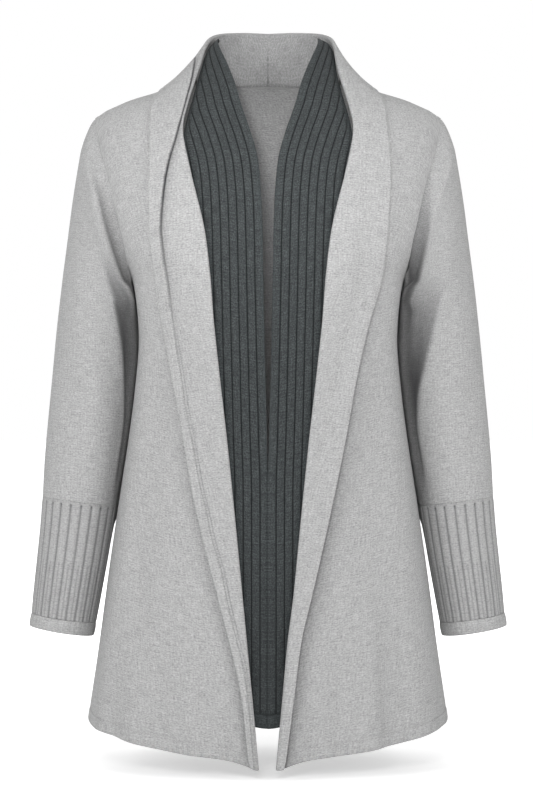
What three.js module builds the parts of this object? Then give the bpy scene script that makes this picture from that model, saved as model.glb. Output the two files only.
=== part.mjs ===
// V-neck cardigan in two layers, filled out as it is worn, with nobody inside it.
// Millimetres. +Z is up, +Y is the wearer's back, +X is the wearer's left (the viewer's right).
// The origin is the middle of the neck, on the shoulder line.
import * as THREE from 'three';

// ---- driving dimensions ----------------------------------------------------------------------
const WALL = 2.0;              // thickness of the knitted cloth
const SEAM = 0.3;              // clearance between two pieces at a seam
const LAYER = 1.3;             // air between two layers that lie on each other
const SEAM_Y = 8;              // side seams and shoulder seams lie in this plane
const UNDERARM = -224;         // height of the bottom of the armholes
const SIDE_HEM = -722;         // height of the hem at the side seams
const FRONT_HEM_DROP = 30;     // the hem hangs lower by this much at the centre front
const BACK_HEM_DROP = 8;       // and by this much at the centre back
const PLAN_POWER = 2.4;        // squareness of a level section through the body
const FRONT_POWER = 2.2;       // squareness of the chest going up to the shoulder
const BACK_POWER = 3.0;        // squareness of the upper back
const NECK_X = 85;             // the neck end of a shoulder seam
const NECK_Z = 16;
const SHOULDER_SLOPE = 0.435;  // fall of the shoulder line for each millimetre out
const BACK_NECK_Z = 14;        // height of the back neck seam at the centre
const RIB_PITCH = 9.4;         // inner panel
const RIB_COUNT = 10;
const RIB_HEIGHT = 1.2;
const RIB_GROOVE = 0.3;        // share of the pitch that is groove
const CUFF_RIBS = 22;
const CUFF_RIB_HEIGHT = 1.2;
const INNER_HEM = -694;        // where the ribs of the inner panel end
const INNER_BAND = 15;         // plain hem band below them
const TUCK = 10;               // turned-under leg of the front edge
const TIP_DROP = 12;           // the front corners hang lower still
const TIP_REACH = 30;          // and how far from the middle they do
const ARMHOLE_CLEAR = 0.45;    // a sleeve's start from the panels
const TURN_STEP = 0.8;         // first turn of a sleeve's cloth beyond the armhole
const TURN_REACH = 0.6;
const FOOT_CLEAR = 1.4;        // the collar's lower edge from the front's inner edge
const FOOT_CLEAR_TOP = 2.8;    // the same where the stand is upright on a level shoulder
const FOOT_CLEAR_BACK = 0.9;   // and on the back neck
const FOOT_ASIDE = 3;          // the foot's step toward the neck at the shoulder seams
const TUCK_CLEAR = 0.9;        // the tucked leg from the front's inner edge
const UNDER_ROLL = { aside: 2.5, back: 4, down: 8 };   // the rib panel's edge under the collar's roll
const INNER_AIR = 1;           // more air between the rib panel and the front

// ---- tables ----------------------------------------------------------------------------------
// Level sections through the body: half width, and depth in front of and behind the seam plane.
const BODY = [
  { z: -764, width: 212.0, front: 132, back: 114 },
  { z: -722, width: 206.5, front: 130, back: 111 },
  { z: -640, width: 194.5, front: 126, back: 103 },
  { z: -560, width: 184.0, front: 122, back: 96 },
  { z: -484, width: 173.0, front: 119, back: 90 },
  { z: -402, width: 160.5, front: 117, back: 83 },
  { z: -345, width: 153.0, front: 117, back: 79 },
  { z: -285, width: 148.5, front: 120, back: 78 },
  { z: -224, width: 155.0, front: 126, back: 86 },
  { z: -190, width: 174.0, front: 126, back: 90 },
  { z: -150, width: 192.0, front: 123, back: 94 },
  { z: -100, width: 201.0, front: 118, back: 97 },
  { z: -60, width: 203.5, front: 113, back: 99 },
  { z: -12, width: 207.0, front: 109, back: 100 },
];
// Armhole edge: how far round each level section the panels reach, in degrees from the middle.
const ARMHOLE = [
  { z: -224, reach: 90 },
  { z: -216, reach: 78 },
  { z: -200, reach: 69 },
  { z: -172, reach: 61.5 },
  { z: -140, reach: 59 },
  { z: -100, reach: 61.5 },
  { z: -60, reach: 68 },
  { z: -12, reach: 72.6 },
];
// The front edge: where it folds back, and where the turned-back edge lies on either side.
const EDGE = [
  { z: -764, fold: 11.5, right: 15.0, left: 14.5 },
  { z: -744, fold: 12.5, right: 21.5, left: 19.5 },
  { z: -680, fold: 18.7, right: 29.0, left: 28.5 },
  { z: -620, fold: 24.0, right: 43.0, left: 36.5 },
  { z: -569, fold: 29.0, right: 56.5, left: 48.5 },
  { z: -473, fold: 38.4, right: 80.5, left: 69.5 },
  { z: -397, fold: 46.3, right: 93.5, left: 84.0 },
  { z: -330, fold: 54.0, right: 105.5, left: 95.5 },
  { z: -268, fold: 60.5, right: 116.0, left: 109.0 },
  { z: -221, fold: 64.0, right: 123.0, left: 122.0 },
  { z: -168, fold: 71.0, right: 129.0, left: 130.0 },
  { z: -110, fold: 85.0, right: 131.0, left: 135.0 },
  { z: -78, fold: 92.0, right: 131.0, left: 136.0 },
  { z: -53, fold: 97.0, right: 131.0, left: 135.0 },
];
// The collar from the corner of the V round to the centre back. foldX, foldY and foldZ: top of the
// roll. edgeX, edgeWay: free edge of the fall, on the body, where way is 1..2 up the front to the
// shoulder seam and 2..3 down the back. baseWay: where the roll would lie on the body. seamWay: neck
// seam, up the front to 2 and round the back to 3.
const COLLAR = [
  { at: 0, foldX: 97, foldY: -73, foldZ: -53, edgeX: 133, edgeWay: 1.782, baseWay: 1.742, seamWay: 1.742 },
  { at: 1, foldX: 92, foldY: -60, foldZ: -30, edgeX: 132, edgeWay: 1.871, baseWay: 1.802, seamWay: 1.85 },
  { at: 2, foldX: 85.5, foldY: -40, foldZ: -3, edgeX: 129, edgeWay: 1.938, baseWay: 1.862, seamWay: 1.925 },
  { at: 3, foldX: 78.5, foldY: -15, foldZ: 28, edgeX: 124, edgeWay: 1.985, baseWay: 1.922, seamWay: 1.98 },
  { at: 4, foldX: 71.5, foldY: 15, foldZ: 56, edgeX: 119, edgeWay: 2.012, baseWay: 1.982, seamWay: 2.08 },
  { at: 5, foldX: 60, foldY: 45, foldZ: 71, edgeX: 103, edgeWay: 2.06, baseWay: 2.04, seamWay: 2.3 },
  { at: 6, foldX: 33, foldY: 68, foldZ: 77, edgeX: 57, edgeWay: 2.12, baseWay: 2.05, seamWay: 2.62 },
  { at: 7, foldX: 0, foldY: 75, foldZ: 77, edgeX: 0, edgeWay: 2.15, baseWay: 2.05, seamWay: 3 },
];
// The inner panel's edges: by height below the corner, and round the neck above it.
const INNER = [
  { z: -720, edge: 0.8 },
  { z: -560, edge: 0.5 },
  { z: -400, edge: 0.7 },
  { z: -300, edge: 2.8 },
  { z: -246, edge: 4.0 },
  { z: -157, edge: 6.0 },
  { z: -114, edge: 9.0 },
  { z: -78, edge: 14.0 },
  { z: -53, edge: 20.5 },
];
const INNER_NECK = [
  { at: 0, edgeX: 20.5, edgeY: -76, edgeZ: -53, bulge: 3 },
  { at: 1, edgeX: 29.5, edgeY: -63, edgeZ: -27, bulge: 3 },
  { at: 2, edgeX: 37.5, edgeY: -49, edgeZ: 2, bulge: 3 },
  { at: 3, edgeX: 47, edgeY: -28, edgeZ: 27, bulge: 2 },
  { at: 4, edgeX: 59, edgeY: -1, edgeZ: 53, bulge: 1 },
];
// Cross-sections of an arm: its outermost point, the height of its innermost point and that point's
// gap from the side of the body, half the depth from front to back, and where the middle lies in Y.
const SLEEVE = [
  { outX: 206.5, outZ: -40, inZ: -230, gap: 4.2, depth: 63, y: 4 },
  { outX: 213.5, outZ: -62, inZ: -238, gap: 4.2, depth: 63, y: 5 },
  { outX: 219.5, outZ: -94, inZ: -248, gap: 3.6, depth: 62, y: 6 },
  { outX: 225.5, outZ: -131, inZ: -260, gap: 3.4, depth: 60, y: 8 },
  { outX: 231, outZ: -172, inZ: -275, gap: 3.0, depth: 57.5, y: 10 },
  { outX: 237.5, outZ: -220, inZ: -297, gap: 2.6, depth: 55, y: 12 },
  { outX: 243.5, outZ: -272, inZ: -325, gap: 2.1, depth: 53, y: 12 },
  { outX: 248.5, outZ: -325, inZ: -358, gap: 2.3, depth: 51.5, y: 12 },
  { outX: 253.5, outZ: -378, inZ: -398, gap: 2.2, depth: 49.5, y: 11 },
  { outX: 257.5, outZ: -425, inZ: -438, gap: 2.6, depth: 46.5, y: 9 },
  { outX: 259.6, outZ: -468, inZ: -478, gap: 2.8, depth: 42.5, y: 7 },
];
const CUFF = [
  { outX: 259.6, outZ: -468.4, inZ: -478.4, gap: 2.8, depth: 42.5, y: 7 },
  { outX: 262, outZ: -502, inZ: -512, gap: 3.0, depth: 41, y: 5 },
  { outX: 265.3, outZ: -536, inZ: -547, gap: 3.8, depth: 39.5, y: 3 },
  { outX: 268.8, outZ: -569, inZ: -580, gap: 5.2, depth: 38, y: 1 },
  { outX: 271.6, outZ: -600, inZ: -611, gap: 7.0, depth: 37, y: 0 },
];
const CUFF_BAND = [
  { outX: 271.7, outZ: -600.4, inZ: -611.4, gap: 7.0, depth: 37, y: 0 },
  { outX: 274.2, outZ: -615, inZ: -627, gap: 7.5, depth: 36.5, y: 0 },
];

// Soft flares that widen toward the hem: place round the body in degrees from the middle, on the
// wearer's left (+) or right (-), height and half width in degrees.
const FRONT_FLARES = [
  { place: -52, height: -5, reach: 7 },
  { place: -38, height: 5, reach: 8 },
  { place: 36, height: -4, reach: 6 },
  { place: 47, height: 5, reach: 7 },
  { place: 64, height: -4, reach: 7 },
];
const BACK_FLARES = [
  { place: -55, height: 6, reach: 9 },
  { place: -24, height: -6, reach: 9 },
  { place: 8, height: 6, reach: 10 },
  { place: 38, height: -6, reach: 9 },
  { place: 62, height: 5, reach: 8 },
];
// Drag folds of a sleeve: a ridge (+) or a hollow (-) from one ring and angle to another.
const SLEEVE_FOLDS = [
  { side: -1, fromRing: 0.8, fromAngle: 32, toRing: 6.5, toAngle: 138, reach: 16, height: 4.0 },
  { side: -1, fromRing: 1.0, fromAngle: 75, toRing: 5.0, toAngle: 150, reach: 16, height: -5.0 },
  { side: -1, fromRing: 4.0, fromAngle: 60, toRing: 8.0, toAngle: 120, reach: 14, height: -2.5 },
  { side: -1, fromRing: 1.0, fromAngle: 290, toRing: 5.0, toAngle: 215, reach: 18, height: -4.0 },
  { side: 1, fromRing: 0.8, fromAngle: 60, toRing: 5.5, toAngle: 140, reach: 18, height: -4.5 },
  { side: 1, fromRing: 1.5, fromAngle: 36, toRing: 5.0, toAngle: 95, reach: 15, height: 3.0 },
  { side: 1, fromRing: 5.0, fromAngle: 60, toRing: 8.0, toAngle: 150, reach: 13, height: 3.0 },
  { side: 1, fromRing: 1.0, fromAngle: 295, toRing: 5.0, toAngle: 215, reach: 18, height: -4.0 },
];

// ---- small tools -----------------------------------------------------------------------------
const vec = (x, y, z) => new THREE.Vector3(x, y, z);
const mix = THREE.MathUtils.lerp;
const rad = THREE.MathUtils.degToRad;
const power = (base, exponent) => Math.pow(Math.max(base, 0), exponent);
const spread = (from, to, steps) => Array.from({ length: steps + 1 }, (_, i) => mix(from, to, i / steps));

/** A smooth line through one column of a table, as a function of the table's key column. */
function track(table, key, column) {
  const rows = [...table].sort((a, b) => a[key] - b[key]);
  const slope = (i) => {
    const low = rows[Math.max(i - 1, 0)];
    const high = rows[Math.min(i + 1, rows.length - 1)];
    return (high[column] - low[column]) / (high[key] - low[key]);
  };
  return (at) => {
    const found = rows.findIndex((row) => row[key] > at);
    const j = found < 0 ? rows.length - 1 : Math.max(found, 1);
    const [a, b] = [rows[j - 1], rows[j]];
    const span = b[key] - a[key];
    const t = THREE.MathUtils.clamp((at - a[key]) / span, 0, 1);
    const [t2, t3] = [t * t, t * t * t];
    return a[column] * (2 * t3 - 3 * t2 + 1) + slope(j - 1) * span * (t3 - 2 * t2 + t)
      + b[column] * (3 * t2 - 2 * t3) + slope(j) * span * (t3 - t2);
  };
}

/** Every column of a table as a track, in one object. */
function tracks(table, key) {
  const columns = Object.keys(table[0]).filter((name) => name !== key);
  return Object.fromEntries(columns.map((name) => [name, track(table, key, name)]));
}

const body = tracks(BODY, 'z');
const reach = track(ARMHOLE, 'z', 'reach');
const frontEdge = tracks(EDGE, 'z');
const collar = tracks(COLLAR, 'at');
const innerEdge = track(INNER, 'z', 'edge');
const innerNeck = tracks(INNER_NECK, 'at');

// ---- walls -----------------------------------------------------------------------------------
/** Normals of a grid of points: along its rows, crossed with the way from row to row. */
function gridNormals(grid, closed) {
  const [rows, columns] = [grid.length, grid[0].length];
  const normals = grid.map((row) => row.map(() => vec(0, 0, 0)));
  const lastColumn = closed ? columns : columns - 1;
  for (let i = 0; i < rows - 1; i += 1) {
    for (let j = 0; j < lastColumn; j += 1) {
      const k = (j + 1) % columns;
      const across = grid[i + 1][k].clone().sub(grid[i][j]);
      const along = grid[i + 1][j].clone().sub(grid[i][k]);
      const face = across.cross(along);
      for (const [r, c] of [[i, j], [i, k], [i + 1, j], [i + 1, k]]) {
        normals[r][c].add(face);
      }
    }
  }
  normals.flat().forEach((normal) => normal.normalize());
  return normals;
}

/** A closed wall between an outer and an inner grid of points. */
function wallGeometry(outer, inner, closed) {
  const [rows, columns] = [outer.length, outer[0].length];
  const positions = [...outer.flat(), ...inner.flat()].flatMap((point) => point.toArray());
  const index = [];
  const at = (side, i, j) => side * rows * columns + i * columns + (j % columns);
  const quad = (a, b, c, d) => index.push(a, b, c, a, c, d);
  const lastColumn = closed ? columns : columns - 1;
  for (let i = 0; i < rows - 1; i += 1) {
    for (let j = 0; j < lastColumn; j += 1) {
      quad(at(0, i, j), at(0, i, j + 1), at(0, i + 1, j + 1), at(0, i + 1, j));
      quad(at(1, i, j), at(1, i + 1, j), at(1, i + 1, j + 1), at(1, i, j + 1));
    }
  }
  for (let j = 0; j < lastColumn; j += 1) {
    quad(at(0, 0, j + 1), at(0, 0, j), at(1, 0, j), at(1, 0, j + 1));
    quad(at(0, rows - 1, j), at(0, rows - 1, j + 1), at(1, rows - 1, j + 1), at(1, rows - 1, j));
  }
  for (let i = 0; i < rows - 1 && !closed; i += 1) {
    quad(at(0, i, 0), at(0, i + 1, 0), at(1, i + 1, 0), at(1, i, 0));
    quad(at(0, i + 1, columns - 1), at(0, i, columns - 1), at(1, i, columns - 1), at(1, i + 1, columns - 1));
  }
  const geometry = new THREE.BufferGeometry();
  geometry.setAttribute('position', new THREE.Float32BufferAttribute(positions, 3));
  geometry.setIndex(index);
  geometry.computeVertexNormals();
  return geometry;
}

/** Points moved along their normals by a distance, or by a function of row and column. */
function moved(grid, normals, distance) {
  const reachOf = typeof distance === 'function' ? distance : () => distance;
  return grid.map((row, i) => row.map((point, j) => (
    point.clone().addScaledVector(normals[i][j], reachOf(i, j)))));
}

/** Rows read backwards on the wearer's right, so that both sides face outward. */
const facing = (grid, side) => (side > 0 ? grid : grid.map((row) => [...row].reverse()));

/** A bell of height 1 that falls to nothing at one reach from its middle. */
function bell(distance, span) {
  const share = Math.min(Math.abs(distance) / span, 1);
  return 0.5 + 0.5 * Math.cos(Math.PI * share);
}

// ---- the form of the body --------------------------------------------------------------------
const SHOULDER_NOMINAL = NECK_Z - SHOULDER_SLOPE * (150 - NECK_X);

/** Height of the shoulder line at a distance from the middle. */
function shoulderZ(x) {
  const away = Math.abs(x);
  const rise = away < NECK_X ? (NECK_X - away) * (NECK_X + away) / (2 * NECK_X) : NECK_X - away;
  return NECK_Z + SHOULDER_SLOPE * rise;
}

/** The height that a level stands for in the tables: 0..1 to the underarm, 1..2 to the shoulder. */
function nominalZ(level) {
  const low = SIDE_HEM - FRONT_HEM_DROP;
  return level < 1 ? mix(low, UNDERARM, level) : mix(UNDERARM, SHOULDER_NOMINAL, level - 1);
}

/** Half width of a level section: its table goes by the height at the side. */
const halfWidth = (level) => body.width(level < 1 ? mix(SIDE_HEM, UNDERARM, level) : nominalZ(level));

/** Height below the underarm: levels spread evenly down to a hem that dips at the middle. */
function lowerZ(angle, x, level, isFront) {
  const share = 1 - power(Math.sin(Math.abs(angle)), 4 / PLAN_POWER);
  const dip = isFront ? FRONT_HEM_DROP : BACK_HEM_DROP;
  const tip = isFront ? TIP_DROP * Math.exp(-((x / TIP_REACH) ** 2)) * power(1 - level, 4) : 0;
  return mix(SIDE_HEM - dip * share, UNDERARM, level) - tip;
}

/** How far the flares push a point out at an angle and a level below the underarm. */
function flare(angle, level, isFront) {
  const growth = power(1 - level, 1.6);
  const flares = isFront ? FRONT_FLARES : BACK_FLARES;
  const degrees = THREE.MathUtils.radToDeg(angle);
  return flares.reduce((sum, row) => sum + row.height * growth * bell(degrees - row.place, row.reach * 2), 0);
}

/** A point on the outside of the body; the angle is from the middle, positive on the wearer's left. */
function bodyPoint(angle, level, isFront) {
  const nominal = nominalZ(level);
  const side = Math.sign(angle) || 1;
  const x = side * halfWidth(level) * power(Math.sin(Math.abs(angle)), 2 / PLAN_POWER);
  const swell = power(Math.cos(angle), 2 / PLAN_POWER);
  const depth = (isFront ? body.front(nominal) : body.back(nominal)) * swell;
  const toward = isFront ? -1 : 1;
  if (level <= 1) {
    const push = flare(angle, level, isFront);
    const y = SEAM_Y + toward * (depth + push * swell);
    return vec(x + side * push * (1 - swell), y, lowerZ(angle, x, level, isFront));
  }
  const curve = isFront ? FRONT_POWER : BACK_POWER;
  const height = Math.min(level - 1, 1);
  const z = mix(UNDERARM, shoulderZ(x), height);
  return vec(x, SEAM_Y + toward * depth * power(1 - power(height, curve), 1 / curve), z);
}

/** The angle at which a level section passes a given distance from the middle. */
function angleAt(x, level) {
  const share = Math.min(Math.abs(x) / halfWidth(level), 1);
  return Math.asin(power(share, PLAN_POWER / 2)) * (Math.sign(x) || 1);
}

/** How far round the armhole or the side seam lets a panel go at a level. */
const reachAt = (level) => rad(level <= 1 ? 90 : reach(nominalZ(level)));

/** The level whose section passes a height on the front, at a distance from the middle. */
function levelAt(z, x) {
  const low = SIDE_HEM - FRONT_HEM_DROP;
  return z < UNDERARM ? (z - low) / (UNDERARM - low) : 1 + (z - UNDERARM) / (shoulderZ(x) - UNDERARM);
}

/** Height on the front at a level near the fold, which is what the edge tables go by. */
const edgeZ = (level) => (level < 1 ? nominalZ(level) : mix(UNDERARM, shoulderZ(90), level - 1));

/** A point over the body. way is 1..2 up the front and 2..3 down the back again. */
function overBody(x, way, over) {
  const isFront = way <= 2;
  const level = isFront ? way : 4 - way;
  const step = 0.004;
  const angle = angleAt(x, level);
  const wide = 0.01;
  const across = bodyPoint(angle + wide, level, isFront).sub(bodyPoint(angle - wide, level, isFront));
  const [low, high] = [Math.max(level - step, 0), Math.min(level + step, 1.9995)];
  const up = bodyPoint(angle, Math.max(high, low + step), isFront).sub(bodyPoint(angle, low, isFront));
  const normal = isFront ? across.cross(up) : up.cross(across);
  return bodyPoint(angle, level, isFront).addScaledVector(normal.normalize(), over);
}

// ---- front and back panels -------------------------------------------------------------------
const LOWER_LEVELS = spread(0, 1, 12);
const UPPER_LEVELS = [1.045, 1.11, 1.2, 1.31, 1.43, 1.55, 1.67, 1.78, 1.87, 1.94, 1.982, 2];
const LEVELS = [...LOWER_LEVELS, ...UPPER_LEVELS];
const UNDERARM_ROW = LOWER_LEVELS.length - 1;
const TOP_ROW = LEVELS.length - 1;
const CORNER_LEVEL = levelAt(COLLAR[0].foldZ, COLLAR[0].foldX);

/** Distance from the middle to the front panel's inner edge, at a level. */
function frontInnerX(level) {
  if (level <= CORNER_LEVEL) {
    return frontEdge.fold(edgeZ(level)) + TUCK;
  }
  const share = (level - CORNER_LEVEL) / (2 - CORNER_LEVEL);
  return mix(COLLAR[0].foldX + TUCK, NECK_X + WALL, share * share);
}

/** Take one axis out of the normals of a seam's points, so that two walls meet face to face. */
function flattenNormals(normals, rows, columns, axis) {
  rows.forEach((i) => columns.forEach((j) => {
    normals[i][j][axis] = 0;
    normals[i][j].normalize();
  }));
}

/** A panel's wall from its outside, with side seams and shoulder seams square to their plane. */
function panelWall(outer, side, seamColumns, shoulderColumns) {
  const grid = facing(outer, side);
  const normals = gridNormals(grid, false);
  const place = (j) => (side > 0 ? j : grid[0].length - 1 - j);
  const rows = [...grid.keys()];
  flattenNormals(normals, rows.slice(0, LOWER_LEVELS.length), seamColumns.map(place), 'y');
  flattenNormals(normals, [TOP_ROW], shoulderColumns.map(place), 'y');
  return { outer: grid, inner: moved(grid, normals, -WALL) };
}

/** A front panel, from its inner edge to the side seam and armhole. */
function frontPanel(side, columns) {
  const outer = LEVELS.map((level) => {
    const start = angleAt(frontInnerX(level), level);
    return spread(start, reachAt(level), columns).map((angle, j) => {
      const point = bodyPoint(side * angle, level, true);
      if ((j === columns && level <= 1) || level === 2) {
        point.y = SEAM_Y - SEAM / 2;
      }
      return point;
    });
  });
  return panelWall(outer, side, [columns], [...outer[0].keys()]);
}

const NECK_SHARE = angleAt(NECK_X + WALL, 2) / reachAt(2);

/** How high the back panel goes at a share of its half width: the back neck seam. */
function backTop(share) {
  const middle = 1 + (BACK_NECK_Z - UNDERARM) / (shoulderZ(0) - UNDERARM);
  const along = Math.abs(share) / NECK_SHARE;
  return along >= 1 ? 2 : 2 - (2 - middle) * Math.sqrt(1 - along * along);
}

function backPanel(neckColumns, sideColumns) {
  const neck = spread(0, Math.PI / 2, neckColumns).map((turn) => NECK_SHARE * Math.sin(turn));
  const half = [...neck, ...spread(NECK_SHARE, 1, sideColumns).slice(1)];
  const shares = [...half.slice(1).reverse().map((share) => -share), ...half];
  const last = shares.length - 1;
  const outer = LEVELS.map((level) => shares.map((share, j) => {
    const here = level <= 1 ? level : mix(1, backTop(share), level - 1);
    const point = bodyPoint(share * reachAt(here), here, false);
    if (((j === 0 || j === last) && level <= 1) || here === 2) {
      point.y = SEAM_Y + SEAM / 2;
    }
    return point;
  }));
  const shoulders = [...shares.keys()].filter((j) => j <= sideColumns || j >= last - sideColumns);
  return panelWall(outer, -1, [0, last], shoulders);
}

// ---- sleeves and cuffs -----------------------------------------------------------------------
/** Middle and half length of a ring that crosses an arm. */
function ringFrame(row, side) {
  const inX = body.width(row.inZ) + row.gap;
  const middle = vec(side * (row.outX + inX) / 2, row.y, (row.outZ + row.inZ) / 2);
  return { middle, half: vec(side * row.outX, row.y, row.outZ).sub(middle), depth: row.depth };
}

/** One ring round an arm; its angles start at the outermost point and go round the front. */
function armRing(row, side, angles) {
  const { middle, half, depth } = ringFrame(row, side);
  return angles.map((angle) => middle.clone().addScaledVector(half, Math.cos(angle))
    .add(vec(0, -depth * Math.sin(angle), 0)));
}

const evenAngles = (count) => spread(0, 2 * Math.PI, count).slice(0, -1);

/** The armhole's edge as a ring of outer and inner points, moved clear of the panels. */
function armholeRing(front, back, side) {
  const frontColumn = side > 0 ? front.outer[0].length - 1 : 0;
  const backColumn = side > 0 ? 0 : back.outer[0].length - 1;
  const picks = [];
  for (let i = TOP_ROW; i >= UNDERARM_ROW; i -= 1) {
    picks.push([front, i, frontColumn, frontColumn - side]);
  }
  for (let i = UNDERARM_ROW + 1; i < TOP_ROW; i += 1) {
    picks.push([back, i, backColumn, backColumn + side]);
  }
  const ends = picks.map(([panel, i, j, next]) => ({
    out: panel.outer[i][j].clone(),
    into: panel.inner[i][j].clone(),
    away: panel.outer[i][j].clone().sub(panel.outer[i][next]),
    isUnderarm: i === UNDERARM_ROW,
    isSeam: i === UNDERARM_ROW || i === TOP_ROW,
  }));
  return ends.map((end, k) => {
    const before = ends[(k + ends.length - 1) % ends.length].out;
    const along = ends[(k + 1) % ends.length].out.clone().sub(before).normalize();
    const away = end.isUnderarm ? vec(0, 0, 1) : end.away.addScaledVector(along, -end.away.dot(along));
    away.normalize();
    const onSeam = (point) => (end.isSeam ? vec(point.x, SEAM_Y, point.z) : point);
    const [out, into] = [end.out, end.into].map((point) => (
      onSeam(point).addScaledVector(away, ARMHOLE_CLEAR)));
    return { out, into, away };
  });
}

/** Push of the drag folds at a ring and an angle of one sleeve. */
function sleeveFold(side, ring, angle) {
  const degrees = THREE.MathUtils.radToDeg(angle);
  return SLEEVE_FOLDS.filter((fold) => fold.side === side).reduce((sum, fold) => {
    const share = (ring - fold.fromRing) / (fold.toRing - fold.fromRing);
    if (share <= 0 || share >= 1) {
      return sum;
    }
    const off = degrees - mix(fold.fromAngle, fold.toAngle, share);
    return sum + fold.height * Math.sin(Math.PI * share) * bell(off, fold.reach * 2);
  }, 0);
}

function sleeve(front, back, side) {
  const start = armholeRing(front, back, side);
  const even = evenAngles(start.length);
  const first = ringFrame(SLEEVE[0], side);
  const found = start.map(({ out }) => {
    const off = out.clone().sub(first.middle);
    const angle = Math.atan2(-off.y / first.depth, off.dot(first.half) / first.half.lengthSq());
    return (angle + 2 * Math.PI) % (2 * Math.PI);
  });
  found[0] = 0;
  const rings = SLEEVE.map((row, i) => {
    const settle = THREE.MathUtils.smoothstep(i, 1, 7);
    const angles = found.map((angle, k) => mix(angle, even[k], settle));
    const { middle } = ringFrame(row, side);
    return armRing(row, side, angles).map((point, k) => {
      const outward = point.clone().sub(middle).normalize();
      return point.addScaledVector(outward, sleeveFold(side, i, angles[k]));
    });
  });
  const turn = start.map(({ out, away }, k) => (
    out.clone().addScaledVector(away, TURN_STEP)
      .addScaledVector(rings[0][k].clone().sub(out).normalize(), TURN_REACH)));
  const turnInner = turn.map((point) => (
    point.clone().addScaledVector(point.clone().sub(first.middle).normalize(), -WALL)));
  const order = (ring) => (side > 0 ? ring : [ring[0], ...ring.slice(1).reverse()]);
  const outer = [start.map(({ out }) => out), turn, ...rings].map(order).reverse();
  const inner = moved(outer, gridNormals(outer, true), -WALL);
  inner[inner.length - 1] = order(start.map(({ into }) => into));
  inner[inner.length - 2] = order(turnInner);
  return { outer, inner, closed: true };
}

/** A tube from a table of rings, with ribs raised between grooves where it has any. */
function cuff(table, side, count, ribs) {
  const angles = evenAngles(count).map((angle) => side * angle);
  const outer = table.map((row) => armRing(row, side, angles)).reverse();
  const normals = gridNormals(outer, true);
  const perRib = count / Math.max(ribs, 1);
  const last = outer.length - 1;
  const raised = (i, j) => {
    const isPlain = ribs === 0 || j % perRib === 0 || i === 0 || i === last;
    return isPlain ? 0 : CUFF_RIB_HEIGHT;
  };
  return { outer: moved(outer, normals, raised), inner: moved(outer, normals, -WALL), closed: true };
}

// ---- collar and turned-back front edge -------------------------------------------------------
const ROLL_RADIUS = (WALL + LAYER) / 2;
const OVER = LAYER + WALL / 2;             // middle of the turned-back leg, over the front's outside
const UNDER = -WALL / 2;                   // middle of the leg that lies in the front's own layer
const ROLL_ANGLES = spread(0, Math.PI, 4).slice(1, -1);

/** Points half way round from the outer leg to the under leg. */
function rollPoints(centre, out, beyond) {
  return ROLL_ANGLES.map((angle) => centre.clone()
    .addScaledVector(out, ROLL_RADIUS * Math.cos(angle))
    .addScaledVector(beyond, ROLL_RADIUS * Math.sin(angle)));
}

/** One row of the lower band: the turned-back leg, the roll at the fold and the tucked leg. */
function bandRow(level, side, edgeName, legCount) {
  const z = edgeZ(level);
  const rollX = frontEdge.fold(z) + ROLL_RADIUS;
  const at = (x, over) => overBody(side * x, level, over);
  const leg = spread(frontEdge[edgeName](z), rollX, legCount).map((x) => at(x, OVER));
  const centre = at(rollX, (OVER + UNDER) / 2);
  const out = at(rollX, OVER).sub(at(rollX, UNDER)).normalize();
  const beyond = at(rollX, 0).sub(at(rollX + 1, 0)).normalize();
  const end = frontInnerX(level) - TUCK_CLEAR;
  const tuck = spread(rollX, end, 2).map((x) => at(x, UNDER));
  return [...leg, ...rollPoints(centre, out, beyond), ...tuck];
}

/** Middle of the collar's lower edge, just clear of the neck seam. */
function neckSeamPoint(way, side) {
  if (way <= 2) {
    const x = frontInnerX(way);
    const point = overBody(side * x, way, UNDER);
    const away = point.clone().sub(overBody(side * (x + 1), way, UNDER)).normalize();
    const upright = THREE.MathUtils.smoothstep(way, 1.8, 1.95);
    return point.addScaledVector(away, mix(FOOT_CLEAR, FOOT_CLEAR_TOP, upright));
  }
  const share = side * NECK_SHARE * Math.cos((way - 2) * Math.PI / 2);
  const top = backTop(share);
  const point = bodyPoint(share * reachAt(top), top, false);
  const below = bodyPoint(share * reachAt(top - 0.02), top - 0.02, false);
  const away = point.clone().sub(below).normalize();
  const aside = mix(FOOT_ASIDE, 0, THREE.MathUtils.smoothstep(way, 2, 2.5));
  return point.addScaledVector(away, FOOT_CLEAR_BACK).add(vec(-side * aside, -WALL / 2, 0));
}

const foldPoint = (at, side) => vec(side * collar.foldX(at), collar.foldY(at), collar.foldZ(at));

/** One row of the collar proper, from the table of sections. */
function collarRow(at, side, legCount) {
  const fold = foldPoint(at, side);
  const seam = neckSeamPoint(collar.seamWay(at), side);
  const [edgeX, edgeWay] = [collar.edgeX(at), collar.edgeWay(at)];
  const base = (share) => overBody(
    side * mix(edgeX, Math.abs(fold.x), share), mix(edgeWay, collar.baseWay(at), share), OVER);
  const ahead = foldPoint(Math.min(at + 0.1, COLLAR.length - 1), side);
  const along = ahead.sub(foldPoint(Math.max(at - 0.1, 0), side)).normalize();
  const down = base(0.75).sub(fold).normalize().add(seam.clone().sub(fold).normalize()).normalize();
  const out = down.clone().cross(along).multiplyScalar(side).normalize();
  const centre = fold.clone().addScaledVector(down, ROLL_RADIUS + WALL / 2);
  const top = centre.clone().addScaledVector(out, ROLL_RADIUS);
  const lift = top.clone().sub(base(1));
  const leg = spread(0, 1, legCount).map((share) => (
    base(share).addScaledVector(lift, power(share, 1.5))));
  const under = centre.clone().addScaledVector(out, -ROLL_RADIUS);
  const stand = spread(0, 1, 2).map((share) => under.clone().lerp(seam, share));
  return [...leg, ...rollPoints(centre, out, down.clone().negate()), ...stand];
}

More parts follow.
